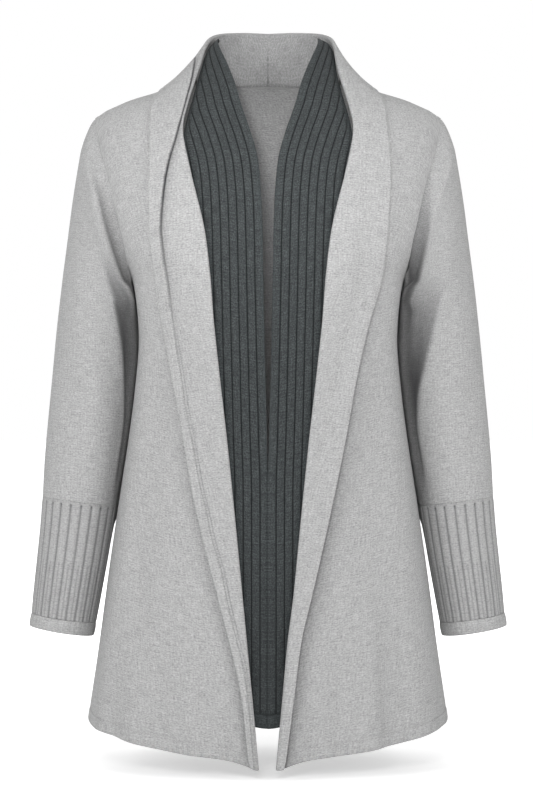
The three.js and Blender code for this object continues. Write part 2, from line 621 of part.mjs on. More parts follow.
/** Half of the shawl collar with the turned-back edge below it, from the hem to the centre back. */
function collarBand(side, edgeName, legCount) {
  const lower = LEVELS.filter((level) => level < CORNER_LEVEL - 0.02);
  const upper = spread(0, COLLAR.length - 1, 14);
  const middle = facing([
    ...lower.map((level) => bandRow(level, side, edgeName, legCount)),
    ...upper.map((at) => collarRow(at, side, legCount)),
  ], -side);
  const normals = gridNormals(middle, false);
  const last = middle.length - 1;
  middle[last].forEach((point) => {
    point.x = side * SEAM / 2;
  });
  flattenNormals(normals, [last], [...middle[last].keys()], 'x');
  return { outer: moved(middle, normals, WALL / 2), inner: moved(middle, normals, -WALL / 2) };
}

// ---- inner rib panels ------------------------------------------------------------------------
const INNER_OVER = -(WALL + LAYER + RIB_HEIGHT + INNER_AIR);   // its plain outside, under the front
const INNER_WIDTH = RIB_PITCH * RIB_COUNT;

/** Distances across the panel: two crown points and one groove point to each rib. */
function ribStations() {
  const half = RIB_PITCH * RIB_GROOVE / 2;
  return Array.from({ length: RIB_COUNT }, (_, rib) => [
    { s: rib * RIB_PITCH + (rib ? half : 0), raised: 1 },
    { s: (rib + 1) * RIB_PITCH - half, raised: 1 },
    { s: (rib + 1) * RIB_PITCH, raised: 0 },
  ]).flat();
}

/** The stations squeezed into a width, so that ribs run out under the edge that covers them. */
function squeezed(stations, width) {
  const last = stations.length - 1;
  return stations.map(({ s, raised }, j) => {
    const limit = width - (last - j) * 0.35;
    return { s: Math.min(s, limit), raised: s <= limit ? raised : 0 };
  });
}

/** A row of the rib panel under the front, at a level. */
function innerLowerRow(level, side, stations) {
  const start = innerEdge(edgeZ(level));
  return stations.map(({ s, raised }) => (
    { point: overBody(side * (start + s), level, INNER_OVER), raised }));
}

/** A row of the rib panel beside the neck, from its free edge to the collar's roll. */
function innerNeckRow(at, side, stations) {
  const edge = vec(side * innerNeck.edgeX(at), innerNeck.edgeY(at), innerNeck.edgeZ(at));
  const target = foldPoint(at, side).add(vec(-side * UNDER_ROLL.aside, UNDER_ROLL.back, -UNDER_ROLL.down));
  const span = target.sub(edge);
  const width = span.length();
  return squeezed(stations, width).map(({ s, raised }) => {
    const share = s / width;
    const bow = innerNeck.bulge(at) * 4 * share * (1 - share);
    return { point: edge.clone().addScaledVector(span, share).add(vec(0, -bow, 0)), raised };
  });
}

function innerPanel(side) {
  const stations = ribStations();
  const lowest = levelAt(INNER_HEM, 0);
  const kept = LEVELS.filter((level, i) => i % 2 === 0 && level > lowest + 0.01 && level < 1.6);
  const rows = facing([
    ...[lowest, ...kept].map((level) => innerLowerRow(level, side, stations)),
    ...spread(0, INNER_NECK.length - 1, 5).map((at) => innerNeckRow(at, side, stations)),
  ], side);
  const base = rows.map((row) => row.map(({ point }) => point));
  const normals = gridNormals(base, false);
  const last = base.length - 1;
  const raised = (i, j) => (i === 0 || i === last ? 0 : rows[i][j].raised * RIB_HEIGHT);
  return { outer: moved(base, normals, raised), inner: moved(base, normals, -WALL) };
}

function innerBand(side, columns) {
  const start = innerEdge(INNER_HEM);
  const xs = spread(start, start + INNER_WIDTH, columns);
  const levels = [INNER_HEM - INNER_BAND, INNER_HEM - SEAM].map((z) => levelAt(z, 0));
  const outer = facing(levels.map((level) => (
    xs.map((x) => overBody(side * x, level, INNER_OVER)))), side);
  return { outer, inner: moved(outer, gridNormals(outer, false), -WALL) };
}

// ---- materials and assembly ------------------------------------------------------------------
const greyMarl = new THREE.MeshStandardMaterial({ color: 0xb9b9bb, roughness: 0.95, metalness: 0 });
const charcoal = new THREE.MeshStandardMaterial({ color: 0x4b5053, roughness: 0.95, metalness: 0 });
const FRONT_COLUMNS = 11;
const LEG_COLUMNS = 5;
const PLAIN_RING = 24;

const group = new THREE.Group();

/** Add a piece as a named mesh. */
function add(name, piece, material) {
  const mesh = new THREE.Mesh(wallGeometry(piece.outer, piece.inner, Boolean(piece.closed)), material);
  mesh.name = name;
  group.add(mesh);
}

const back = backPanel(5, 8);
add('back', back, greyMarl);
for (const [name, side] of [['left', 1], ['right', -1]]) {
  const front = frontPanel(side, FRONT_COLUMNS);
  add(`front_${name}`, front, greyMarl);
  add(`collar_band_${name}`, collarBand(side, name, LEG_COLUMNS), greyMarl);
  add(`inner_rib_panel_${name}`, innerPanel(side), charcoal);
  add(`inner_hem_band_${name}`, innerBand(side, 10), charcoal);
  add(`sleeve_${name}`, sleeve(front, back, side), greyMarl);
  add(`ribbed_cuff_${name}`, cuff(CUFF, side, CUFF_RIBS * 3, CUFF_RIBS), greyMarl);
  add(`cuff_band_${name}`, cuff(CUFF_BAND, side, PLAIN_RING, 0), greyMarl);
}

export default group;
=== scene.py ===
"""An open-front knitted cardigan with a shawl collar and rib inner panels, filled out as it is worn.

Sizes in the tables are millimetres, as in the part's source. +Z is up, +Y is the wearer's back and
+X is the wearer's left. Meshes are in metres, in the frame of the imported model.
"""

import logging
import math
from dataclasses import dataclass, field
from enum import Enum

import bmesh
import bpy
import numpy as np
from mathutils import Matrix, Vector


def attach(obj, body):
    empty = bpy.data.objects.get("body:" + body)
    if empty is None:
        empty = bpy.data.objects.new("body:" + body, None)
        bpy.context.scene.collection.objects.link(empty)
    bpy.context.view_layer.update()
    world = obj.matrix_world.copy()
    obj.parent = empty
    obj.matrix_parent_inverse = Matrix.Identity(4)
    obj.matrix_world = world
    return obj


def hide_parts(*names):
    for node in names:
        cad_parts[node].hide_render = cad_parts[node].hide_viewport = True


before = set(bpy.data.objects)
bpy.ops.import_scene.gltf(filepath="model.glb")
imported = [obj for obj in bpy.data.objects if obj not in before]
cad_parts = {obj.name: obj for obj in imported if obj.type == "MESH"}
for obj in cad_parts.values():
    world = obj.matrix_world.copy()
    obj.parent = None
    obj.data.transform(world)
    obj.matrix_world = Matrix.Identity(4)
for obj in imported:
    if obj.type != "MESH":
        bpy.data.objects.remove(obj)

LOG = logging.getLogger("cardigan")
MM = 0.001
Array = np.ndarray
Span = tuple[float, float]
Tree = bpy.types.NodeTree
Socket = bpy.types.NodeSocket


class Side(Enum):
    """The wearer's sides. The value is the sign of X."""

    LEFT = 1
    RIGHT = -1

    @property
    def label(self) -> str:
        """The side's word in the names of nodes."""
        return self.name.lower()


class Face(Enum):
    """The face of the garment that a fold is on. The value is the sign of Y."""

    FRONT = -1
    BACK = 1


# ---- small tools --------------------------------------------------------------------------------
def mix(low: Array, high: Array, share: Array) -> Array:
    """Value at a share of the way from low to high."""
    return low + (high - low) * share


def smooth(low: float, high: float, at: Array) -> Array:
    """Share from 0 at low to 1 at high, with soft ends."""
    t = np.clip((np.asarray(at, float) - low) / (high - low), 0.0, 1.0)
    return t * t * (3 - 2 * t)


def power(base: Array, exponent: float) -> Array:
    """Power of a number that is never taken below nothing."""
    return np.maximum(base, 0.0) ** exponent


def bell(distance: Array, span: float) -> Array:
    """A bell of height 1 that falls to nothing at one span from its middle."""
    return 0.5 + 0.5 * np.cos(np.pi * np.minimum(np.abs(distance) / span, 1.0))


def hump(distance: Array, width: Array) -> Array:
    """A hump of height 1 with long soft feet."""
    return np.exp(-((distance / width) ** 2))


def unit(vectors: Array) -> Array:
    """Vectors of length 1."""
    length = np.linalg.norm(vectors, axis=-1, keepdims=True)
    return vectors / np.maximum(length, 1e-9)


def vec(x: Array, y: Array, z: Array) -> Array:
    """Points from their coordinates, broadcast against each other."""
    return np.stack(np.broadcast_arrays(*[np.asarray(v, float) for v in (x, y, z)]), axis=-1)


class Track:
    """A smooth line through pairs of keys and values."""

    def __init__(self, keys: Array, values: Array) -> None:
        """Sort the pairs and find the slope at each.

        Args:
            keys: Keys, in any order.
            values: One value for each key.
        """
        order = np.argsort(keys)
        self.keys = np.asarray(keys, float)[order]
        self.values = np.asarray(values, float)[order]
        index = np.arange(len(order))
        low = np.maximum(index - 1, 0)
        high = np.minimum(index + 1, len(order) - 1)
        self.slopes = (self.values[high] - self.values[low]) / (self.keys[high] - self.keys[low])

    def __call__(self, at: Array) -> Array:
        """Value at a key, held at the ends.

        Args:
            at: Keys.

        Returns:
            One value for each key.
        """
        at = np.asarray(at, float)
        j = np.clip(np.searchsorted(self.keys, at, side="right"), 1, len(self.keys) - 1)
        span = self.keys[j] - self.keys[j - 1]
        t = np.clip((at - self.keys[j - 1]) / span, 0.0, 1.0)
        t2, t3 = t * t, t * t * t
        return (
            self.values[j - 1] * (2 * t3 - 3 * t2 + 1)
            + self.slopes[j - 1] * span * (t3 - 2 * t2 + t)
            + self.values[j] * (3 * t2 - 2 * t3)
            + self.slopes[j] * span * (t3 - t2)
        )


class Table:
    """Rows of sizes; every column after the first is a track by the first."""

    def __init__(self, columns: str, rows: tuple[tuple[float, ...], ...]) -> None:
        """Make the tracks.

        Args:
            columns: Names of the columns, with the key first.
            rows: Their sizes, in millimetres or degrees.
        """
        keys, *sizes = np.array(rows, float).T
        for name, values in zip(columns.split()[1:], sizes):
            setattr(self, name, Track(keys, values))


# ---- form of the garment ------------------------------------------------------------------------
BODY = Table("z width front back", (
    (-764, 212.0, 132, 114),
    (-722, 206.5, 130, 111),
    (-640, 194.5, 126, 103),
    (-560, 184.0, 122, 96),
    (-484, 173.0, 119, 90),
    (-402, 160.5, 117, 83),
    (-345, 153.0, 117, 79),
    (-285, 148.5, 120, 78),
    (-224, 155.0, 126, 86),
    (-190, 174.0, 126, 90),
    (-150, 192.0, 123, 94),
    (-100, 201.0, 118, 97),
    (-60, 203.5, 113, 99),
    (-12, 207.0, 109, 100),
))
ARMHOLE = Table("z reach", (
    (-224, 90), (-216, 78), (-200, 69), (-172, 61.5), (-140, 59), (-100, 61.5), (-60, 68), (-12, 72.6),
))
EDGE = Table("z fold right left", (
    (-764, 11.5, 15.0, 14.5),
    (-744, 12.5, 21.5, 19.5),
    (-680, 18.7, 29.0, 28.5),
    (-620, 24.0, 43.0, 36.5),
    (-569, 29.0, 56.5, 48.5),
    (-473, 38.4, 80.5, 69.5),
    (-397, 46.3, 93.5, 84.0),
    (-330, 54.0, 105.5, 95.5),
    (-268, 60.5, 116.0, 109.0),
    (-221, 64.0, 123.0, 122.0),
    (-168, 71.0, 129.0, 130.0),
    (-110, 85.0, 131.0, 135.0),
    (-78, 92.0, 131.0, 136.0),
    (-53, 97.0, 131.0, 135.0),
))
COLLAR = Table("at fold_x fold_y fold_z edge_x edge_way base_way seam_way", (
    (0, 97, -73, -53, 133, 1.782, 1.742, 1.742),
    (1, 92, -60, -30, 132, 1.871, 1.802, 1.85),
    (2, 85.5, -40, -3, 129, 1.938, 1.862, 1.925),
    (3, 78.5, -15, 28, 124, 1.985, 1.922, 1.98),
    (4, 71.5, 15, 56, 119, 2.012, 1.982, 2.08),
    (5, 60, 45, 71, 103, 2.06, 2.04, 2.3),
    (6, 33, 68, 77, 57, 2.12, 2.05, 2.62),
    (7, 0, 75, 77, 0, 2.15, 2.05, 3),
))
INNER = Table("z edge", (
    (-720, -0.5), (-560, -0.5), (-450, -0.4), (-410, 0.8), (-350, 2.3), (-300, 3.5), (-246, 4.6),
    (-157, 6.4), (-114, 9.2), (-78, 14.0), (-53, 20.5),
))
INNER_NECK = Table("at edge_x edge_y edge_z bulge", (
    (0, 20.5, -76, -53, 3), (1, 29.5, -63, -27, 3), (2, 37.5, -49, 2, 3), (3, 46.5, -28, 27, 2),
    (4, 56.5, 0, 52, 1), (5, 57.5, 41, 66.5, 0),
))
SLEEVE = Table("at out_x out_z in_z gap depth y", (
    (0, 206.5, -40, -230, 4.2, 63, 4),
    (1, 213.5, -62, -238, 4.2, 63, 5),
    (2, 219.5, -94, -248, 3.6, 62, 6),
    (3, 225.5, -131, -260, 3.4, 60, 8),
    (4, 231, -172, -275, 3.0, 57.5, 10),
    (5, 237.5, -220, -297, 2.6, 55, 12),
    (6, 243.5, -272, -325, 2.1, 53, 12),
    (7, 248.5, -325, -358, 2.3, 51.5, 12),
    (8, 253.5, -378, -398, 2.2, 49.5, 11),
    (9, 257.5, -425, -438, 2.6, 46.5, 9),
    (10, 259.6, -468, -478, 2.8, 42.5, 7),
))
CUFF = Table("at out_x out_z in_z gap depth y", (
    (0, 259.6, -468.2, -478.2, 2.8, 42.5, 7),
    (1, 262, -502, -512, 3.0, 41, 5),
    (2, 265.3, -536, -547, 3.8, 39.5, 3),
    (3, 268.8, -569, -580, 5.2, 38, 1),
    (4, 271.6, -600, -611, 7.0, 37, 0),
))
CUFF_BAND = Table("at out_x out_z in_z gap depth y", (
    (0, 271.7, -600.2, -611.2, 7.0, 37, 0),
    (1, 274.2, -615, -627, 7.5, 36.5, 0),
))
FRONT_FLARES = ((-52, -5, 7), (-38, 5, 8), (36, -4, 6), (47, 5, 7), (64, -4, 7))
BACK_FLARES = ((-55, 6, 9), (-24, -6, 9), (8, 6, 10), (38, -6, 9), (62, 5, 8))


@dataclass(frozen=True)
class BodyForm:
    """The outside of the worn body of the garment, as its source draws it.

    The powers are how square its sections are: in plan, and up the chest and the back. The shoulder
    line is fuller by shoulder_full between full_from and full_to, which are where that fullness
    starts and ends. top_x is where on the shoulder the nominal height of the top level is taken, and
    neck_clear is the room between the neck's edge and the cloth.
    """

    seam_y: float = 8.0
    underarm: float = -224.0
    side_hem: float = -722.0
    front_dip: float = 30.0
    back_dip: float = 8.0
    plan_power: float = 2.4
    front_power: float = 2.2
    back_power: float = 3.0
    neck_x: float = 85.0
    neck_z: float = 16.0
    neck_clear: float = 2.0
    slope: float = 0.435
    shoulder_full: float = 4.8
    full_from: Span = (118.0, 165.0)
    full_to: Span = (183.0, 207.0)
    top_x: float = 150.0
    edge_x: float = 90.0
    flare_power: float = 1.6
    back_neck_z: float = 14.0
    tip_drop: float = 12.0
    tip_reach: float = 30.0

    def shoulder_z(self, x: Array) -> Array:
        """Height of the shoulder line at a distance from the middle.

        Args:
            x: Distances from the middle.

        Returns:
            Heights, in millimetres.
        """
        away = np.abs(x)
        inside = (self.neck_x - away) * (self.neck_x + away) / (2 * self.neck_x)
        full = self.shoulder_full * smooth(*self.full_from, away) * (1 - smooth(*self.full_to, away))
        return self.neck_z + self.slope * np.where(away < self.neck_x, inside, self.neck_x - away) + full

    def nominal_z(self, level: Array) -> Array:
        """The height that a level stands for: 0 to 1 to the underarm, 1 to 2 to the shoulder.

        Args:
            level: Levels.

        Returns:
            Heights, in millimetres.
        """
        top = self.neck_z - self.slope * (self.top_x - self.neck_x)
        low = mix(self.side_hem - self.front_dip, self.underarm, level)
        return np.where(level < 1, low, mix(self.underarm, top, level - 1))

    def half_width(self, level: Array) -> Array:
        """Half width of a level section."""
        side = mix(self.side_hem, self.underarm, level)
        return BODY.width(np.where(level < 1, side, self.nominal_z(level)))

    def flare(self, angle: Array, level: Array, flares: tuple[tuple[float, ...], ...]) -> Array:
        """Push of the soft flares that widen toward the hem.

        Args:
            angle: Angles round a level section.
            level: Levels.
            flares: Angle, height and half width of each flare, in degrees and millimetres.

        Returns:
            Pushes out, in millimetres.
        """
        growth = power(1 - level, self.flare_power)
        degrees = np.degrees(angle)
        return sum(height * growth * bell(degrees - place, reach * 2) for place, height, reach in flares)

    def point(self, angle: Array, level: Array, front: Array) -> Array:
        """Points on the outside of the body.

        Args:
            angle: Angle round a level section from its middle, positive on the wearer's left.
            level: Level of the section.
            front: Whether each point is on the front.

        Returns:
            The points, in millimetres.
        """
        angle, level, front = np.broadcast_arrays(np.asarray(angle, float), level, front)
        nominal = self.nominal_z(level)
        side = np.where(angle < 0, -1.0, 1.0)
        across = power(np.sin(np.abs(angle)), 2 / self.plan_power)
        x = side * self.half_width(level) * across
        swell = power(np.cos(angle), 2 / self.plan_power)
        depth = np.where(front, BODY.front(nominal), BODY.back(nominal)) * swell
        toward = np.where(front, -1.0, 1.0)
        flares = [self.flare(angle, level, flares) for flares in (FRONT_FLARES, BACK_FLARES)]
        push = np.where(front, *flares)
        share = 1 - power(np.sin(np.abs(angle)), 4 / self.plan_power)
        dip = np.where(front, self.front_dip, self.back_dip)
        tip = self.tip_drop * hump(x, self.tip_reach) * power(1 - level, 4)
        low_z = mix(self.side_hem - dip * share, self.underarm, level) - np.where(front, tip, 0.0)
        low = vec(x + side * push * (1 - swell), self.seam_y + toward * (depth + push * swell), low_z)
        curve = np.where(front, self.front_power, self.back_power)
        height = np.clip(level - 1, 0.0, 1.0)
        over = np.maximum(1 - height**curve, 0.0) ** (1 / curve)
        high_z = mix(self.underarm, self.shoulder_z(x), height)
        high = vec(x, self.seam_y + toward * depth * over, high_z)
        return np.where((level <= 1)[..., None], low, high)

    def angle_at(self, x: Array, level: Array) -> Array:
        """The angle at which a level section passes a distance from the middle."""
        share = np.minimum(np.abs(x) / self.half_width(level), 1.0)
        return np.arcsin(power(share, self.plan_power / 2)) * np.where(np.asarray(x) < 0, -1.0, 1.0)

    def reach_at(self, level: Array) -> Array:
        """How far round the armhole or the side seam lets a panel go."""
        return np.radians(np.where(level <= 1, 90.0, ARMHOLE.reach(self.nominal_z(level))))

    def level_at(self, z: float, x: float) -> float:
        """The level whose section passes a height on the front.

        Args:
            z: The height.
            x: How far from the middle.

        Returns:
            The level.
        """
        low = self.side_hem - self.front_dip
        if z < self.underarm:
            return (z - low) / (self.underarm - low)
        return 1 + (z - self.underarm) / (float(self.shoulder_z(x)) - self.underarm)

    def edge_z(self, level: Array) -> Array:
        """Height near the fold at a level, which is what the edge tables go by."""
        high = mix(self.underarm, self.shoulder_z(self.edge_x), level - 1)
        return np.where(level < 1, self.nominal_z(level), high)

    def over_body(self, x: Array, way: Array, over: Array) -> Array:
        """Points over the body.

        Args:
            x: Distance from the middle, with its sign.
            way: 0 to 2 up the front, and 2 to 3 down the back again.
            over: Height over the outside of the body.

        Returns:
            The points, in millimetres.
        """
        x, way, over = np.broadcast_arrays(np.asarray(x, float), way, over)
        front = way <= 2
        level = np.where(front, way, 4 - way)
        angle = self.angle_at(x, level)
        turn, rise, top = 0.01, 0.004, 1.9995
        across = self.point(angle + turn, level, front) - self.point(angle - turn, level, front)
        low = np.maximum(level - rise, 0.0)
        high = np.maximum(np.minimum(level + rise, top), low + rise)
        up = self.point(angle, high, front) - self.point(angle, low, front)
        normal = unit(np.cross(across, up)) * np.where(front, 1.0, -1.0)[..., None]
        return self.point(angle, level, front) + normal * over[..., None]

    @property
    def neck_share(self) -> float:
        """Share of the back's half width at which the neck ends."""
        top = np.array(2.0)
        return float(self.angle_at(self.neck_x + self.neck_clear, top) / self.reach_at(top))

    def back_top(self, share: Array) -> Array:
        """The level that the back goes up to at a share of its half width.

        Args:
            share: Shares from -1 to 1 across the back.

        Returns:
            The levels.
        """
        middle = 1 + (self.back_neck_z - self.underarm) / (float(self.shoulder_z(0.0)) - self.underarm)
        along = np.minimum(np.abs(share) / self.neck_share, 1.0)
        return 2 - (2 - middle) * np.sqrt(1 - along * along)


FORM = BodyForm()


class BodySide:
    """How far the worn body reaches aside at a depth and a height, for a sleeve that rests on it."""

    def __init__(self, side: int) -> None:
        """Measure the body on one side.

        Args:
            side: 1 on the wearer's left, -1 on the right.
        """
        self.depths = np.linspace(-60.0, 80.0, 71)
        self.levels = np.linspace(0.0, 1.0, 60)
        turns = side * np.radians(np.linspace(35.0, 90.0, 120))
        rows = []
        for level in self.levels:
            front = FORM.point(turns, level, np.array(True))
            back = FORM.point(turns[::-1], level, np.array(False))
            line = np.concatenate([front, back])
            rows.append(np.interp(self.depths, line[:, 1], np.abs(line[:, 0])))
        self.reach = np.array(rows)

    def __call__(self, y: Array, z: Array) -> Array:
        """Reach of the body aside.

        Args:
            y: Depths.
            z: Heights.

        Returns:
            Distances from the middle, in millimetres.
        """
        level = (z - FORM.side_hem) / (FORM.underarm - FORM.side_hem)
        row = np.clip(level, 0.0, 0.9999) * (len(self.levels) - 1)
        depth = (y - self.depths[0]) / (self.depths[1] - self.depths[0])
        column = np.clip(depth, 0.0, len(self.depths) - 1.001)
        i, j = row.astype(int), column.astype(int)
        low = mix(self.reach[i, j], self.reach[i, j + 1], column - j)
        high = mix(self.reach[i + 1, j], self.reach[i + 1, j + 1], column - j)
        return mix(low, high, row - i)


# ---- cloth --------------------------------------------------------------------------------------
THINNEST = 0.03  # share of a wall that is left at a rounded edge
FAR = 99.0  # a distance that no line is looked for at


@dataclass(frozen=True)
class Fold:
    """A soft ridge (+) or trough (-) along a path in X and Z on one face of the garment.

    near and far are its half widths to the left and right of the path's way. fades are the shares of
    its length over which it starts and ends.
    """

    face: Face
    path: tuple[Span, ...]
    height: float
    near: float
    far: float
    fades: Span = (0.35, 0.35)

    def push(self, points: Array, normals: Array) -> Array:
        """How far the fold moves each point of a cloth along its normal.

        Args:
            points: Points of the cloth.
            normals: Their normals.

        Returns:
            Distances, in millimetres.
        """
        x, z = points[..., 0], points[..., 2]
        ends = list(zip(self.path[:-1], self.path[1:]))
        whole = sum(math.dist(a, b) for a, b in ends)
        best = np.full(x.shape, np.inf)
        along = np.zeros(x.shape)
        width = np.full(x.shape, self.near)
        run = 0.0
        for (x0, z0), (x1, z1) in ends:
            length = math.dist((x0, z0), (x1, z1))
            dx, dz = (x1 - x0) / length, (z1 - z0) / length
            share = np.clip(((x - x0) * dx + (z - z0) * dz) / length, 0.0, 1.0)
            off_x, off_z = x - x0 - share * length * dx, z - z0 - share * length * dz
            distance = np.hypot(off_x, off_z)
            closer = distance < best
            best = np.where(closer, distance, best)
            along = np.where(closer, (run + share * length) / whole, along)
            left = dx * off_z - dz * off_x > 0
            width = np.where(closer, np.where(left, self.near, self.far), width)
            run += length
        fade = np.ones(x.shape)
        for reach, gone in zip(self.fades, (along, 1 - along)):
            if reach:
                fade = fade * smooth(0.0, reach, gone)
        facing = smooth(0.0, 0.4, normals[..., 1] * self.face.value)
        return self.height * hump(best, width) * fade * facing


def laid(face: Face, *folds: tuple[object, ...]) -> tuple[Fold, ...]:
    """Folds on one face, from their paths and sizes."""
    return tuple(Fold(face, *fold) for fold in folds)


def stops(count: int, length: float, rounds: tuple[bool, bool], radius: float) -> Array:
    """Shares from 0 to 1 that are even, but close together at an edge that is rounded off.

    Args:
        count: Number of even steps.
        length: Length that the shares stand for, in millimetres.
        rounds: Whether the start and the end are rounded.
        radius: Radius of the rounding.

    Returns:
        The shares.
    """
    near = np.array([0.0, 0.13, 0.45]) * radius / length
    start, end = (near if is_round else near[:1] for is_round in rounds)
    low, high = (radius / length if is_round else 1 / count for is_round in rounds)
    return np.concatenate([start, np.linspace(low, 1 - high, count - 1), 1 - end[::-1]])


@dataclass
class Cloth:
    """One layer of cloth as a grid of points on its outside, in millimetres.

    turn is -1 where the order of the columns would make the outside face in. closed is for a tube,
    whose last column joins its first. thin is the cloth's thickness at each point, as a share.
    """

    points: Array
    turn: int = 1
    closed: bool = False
    thin: Array | None = None

    def normals(self) -> Array:
        """Normals of the cloth's outside."""
        if self.closed:
            across = np.roll(self.points, -1, axis=1) - np.roll(self.points, 1, axis=1)
        else:
            across = np.gradient(self.points, axis=1)
        return unit(np.cross(across, np.gradient(self.points, axis=0))) * self.turn

    def pushed(self, distance: Array) -> "Cloth":
        """The cloth moved along its normals."""
        moved = self.points + self.normals() * np.asarray(distance)[..., None]
        return Cloth(moved, self.turn, self.closed, self.thin)

    def folded(self, folds: tuple[Fold, ...]) -> "Cloth":
        """The cloth with folds laid into it.

        Args:
            folds: The folds.

        Returns:
            The cloth, moved by them.
        """
        if not folds:
            return self
        normals = self.normals()
        return self.pushed(sum(fold.push(self.points, normals) for fold in folds))

    def rounded(self, wall: float, from_edge: Array) -> "Cloth":
        """The cloth with its edges rounded off.

        Args:
            wall: Thickness of the cloth.
            from_edge: Distance of each point, row or column from the nearest edge to round.

        Returns:
            The cloth, with its thickness there as a share in thin.
        """
        radius = wall / 2
        short = np.clip(radius - np.broadcast_to(from_edge, self.points.shape[:2]), 0.0, radius)
        sunk = radius - np.sqrt(np.maximum(radius**2 - short**2, 0.0))
        cloth = self.pushed(-sunk)
        cloth.thin = np.clip((wall - 2 * sunk) / wall, THINNEST, 1.0)
        return cloth

    def all_round(self) -> Array:
        """The points, with a tube's first column again after its last."""
        return np.concatenate([self.points, self.points[:, :1]], axis=1) if self.closed else self.points

    def lengths(self) -> tuple[Array, Array]:
        """Distances along the cloth across and up from its first column and row, in millimetres."""
        points = self.all_round()
        across = np.linalg.norm(np.diff(points, axis=1), axis=-1)
        up = np.linalg.norm(np.diff(points, axis=0), axis=-1)
        column, row = np.zeros((points.shape[0], 1)), np.zeros((1, points.shape[1]))
        return (
            np.concatenate([column, np.cumsum(across, axis=1)], axis=1),
            np.concatenate([row, np.cumsum(up, axis=0)], axis=0),
        )

    def traced(self, values: Array, level: float, by_row: bool) -> tuple[Array, Array]:
        """The line on the cloth on which values pass a level.

        Args:
            values: One value for each point.
            level: The level.
            by_row: Whether each row, and not each column, holds one point of the line.

        Returns:
            The line's points and the cloth's normals there.
        """
        points, normals, over = self.points, self.normals(), values - level
        if not by_row:
            points, normals, over = points.swapaxes(0, 1), normals.swapaxes(0, 1), over.T
        found, ways = [], []
        for point, normal, off in zip(points, normals, over):
            passed = np.nonzero(np.diff(np.signbit(off)))[0]
            if len(passed):
                k = passed[0]
                share = off[k] / (off[k] - off[k + 1])
                found.append(mix(point[k], point[k + 1], share))
                ways.append(mix(normal[k], normal[k + 1], share))
        return np.array(found), unit(np.array(ways))


def smooth_rows(rows: Array, first: int, last: int, times: int) -> None:
    """Smooth a run of rows in place, so that two lots of rows meet without a step.

    Args:
        rows: Grid of points.
        first: First row to smooth.
        last: The row after the last to smooth.
        times: How often each row takes on the mean of its neighbours.
    """
    for _ in range(times):
        window = rows[first - 1:last + 1].copy()
        rows[first:last] = (window[:-2] + 2 * window[1:-1] + window[2:]) / 4


KnitMesh = tuple[bmesh.types.BMesh, dict[float, list[int]]]


@dataclass
class Sewing:
    """What a finished piece of cloth is told about itself.

    node is the solid that the piece stands for, and is called after. from_last says that its courses
    run along its last row, as on a sleeve knitted from the cuff up.
    """

    node: str
    wall: float
    material: bpy.types.Material
    slot: str = "grey_marl_knit"
    held: str = "hung"
    from_last: bool = False


def finish_mesh(name: str, bm: bmesh.types.BMesh, material: bpy.types.Material) -> bpy.types.Object:
    """Make a smooth-shaded object from a bmesh, and free the bmesh.

    Args:
        name: Its name.
        bm: Its mesh, freed here.
        material: Its finish.

    Returns:
        The object.
    """
    mesh = bpy.data.meshes.new(name)
    for face in bm.faces:
        face.smooth = True
    bm.to_mesh(mesh)
    bm.free()
    mesh.materials.append(material)
    made = bpy.data.objects.new(name, mesh)
    bpy.context.scene.collection.objects.link(made)
    return made


def cloth_mesh(cloth: Cloth, across: Array, course: Array, values: dict[str, Array]) -> KnitMesh:
    """Make the mesh of a cloth, with its lengths as UVs.

    Args:
        cloth: The cloth.
        across: Distance of each point along its course, in millimetres.
        course: Height of each point over the first course, in millimetres.
        values: Named values for each point, kept as attributes.

    Returns:
        The mesh, and the vertices that have each share of the thickness.
    """
    rows, columns = cloth.points.shape[:2]
    last = columns if cloth.closed else columns - 1
    bm = bmesh.new()
    bmesh.ops.create_grid(bm, x_segments=last, y_segments=rows - 1, size=0.5, calc_uvs=True)
    uv = bm.loops.layers.uv.verify()
    layers = {name: bm.verts.layers.float.new(name) for name in values}
    place = {}
    for vert in bm.verts:
        place[vert] = (round((vert.co.y + 0.5) * (rows - 1)), round((vert.co.x + 0.5) * last))
    for vert, (i, j) in place.items():
        vert.co = cloth.points[i, j % columns] * MM
        for name, layer in layers.items():
            vert[layer] = float(values[name][i, j % columns])
    for face in bm.faces:
        for loop in face.loops:
            at = place[loop.vert]
            loop[uv].uv = (across[at] * MM, course[at] * MM)
    if cloth.turn < 0:
        bmesh.ops.reverse_faces(bm, faces=bm.faces)
    if cloth.closed:
        found = {at: vert for vert, at in place.items()}
        bmesh.ops.weld_verts(bm, targetmap={found[i, last]: found[i, 0] for i in range(rows)})
    bm.verts.index_update()
    shares: dict[float, list[int]] = {}
    for vert in bm.verts:
        shares.setdefault(round(float(cloth.thin[place[vert]]), 2), []).append(vert.index)
    return bm, shares


def sew(cloth: Cloth, sewing: Sewing, values: dict[str, Array] | None = None) -> bpy.types.Object:
    """Make an object from a cloth, with its wall.

    Args:
        cloth: The cloth.
        sewing: Wall, finish and the solid that it stands for.
        values: Named values for each grid point, kept as attributes.

    Returns:
        The object.
    """
    across, up = cloth.lengths()
    bm, shares = cloth_mesh(cloth, across, up - up[-1:] if sewing.from_last else up, values or {})
    made = finish_mesh(f"{sewing.node}_knit", bm, sewing.material)
    group = made.vertex_groups.new(name="thickness")
    for share, found in shares.items():
        group.add(found, share, "REPLACE")
    wall = made.modifiers.new("wall", "SOLIDIFY")
    wall.thickness = sewing.wall * MM
    wall.offset = -1.0
    wall.vertex_group = group.name
    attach(made, "root")
    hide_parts(sewing.node)
    return made


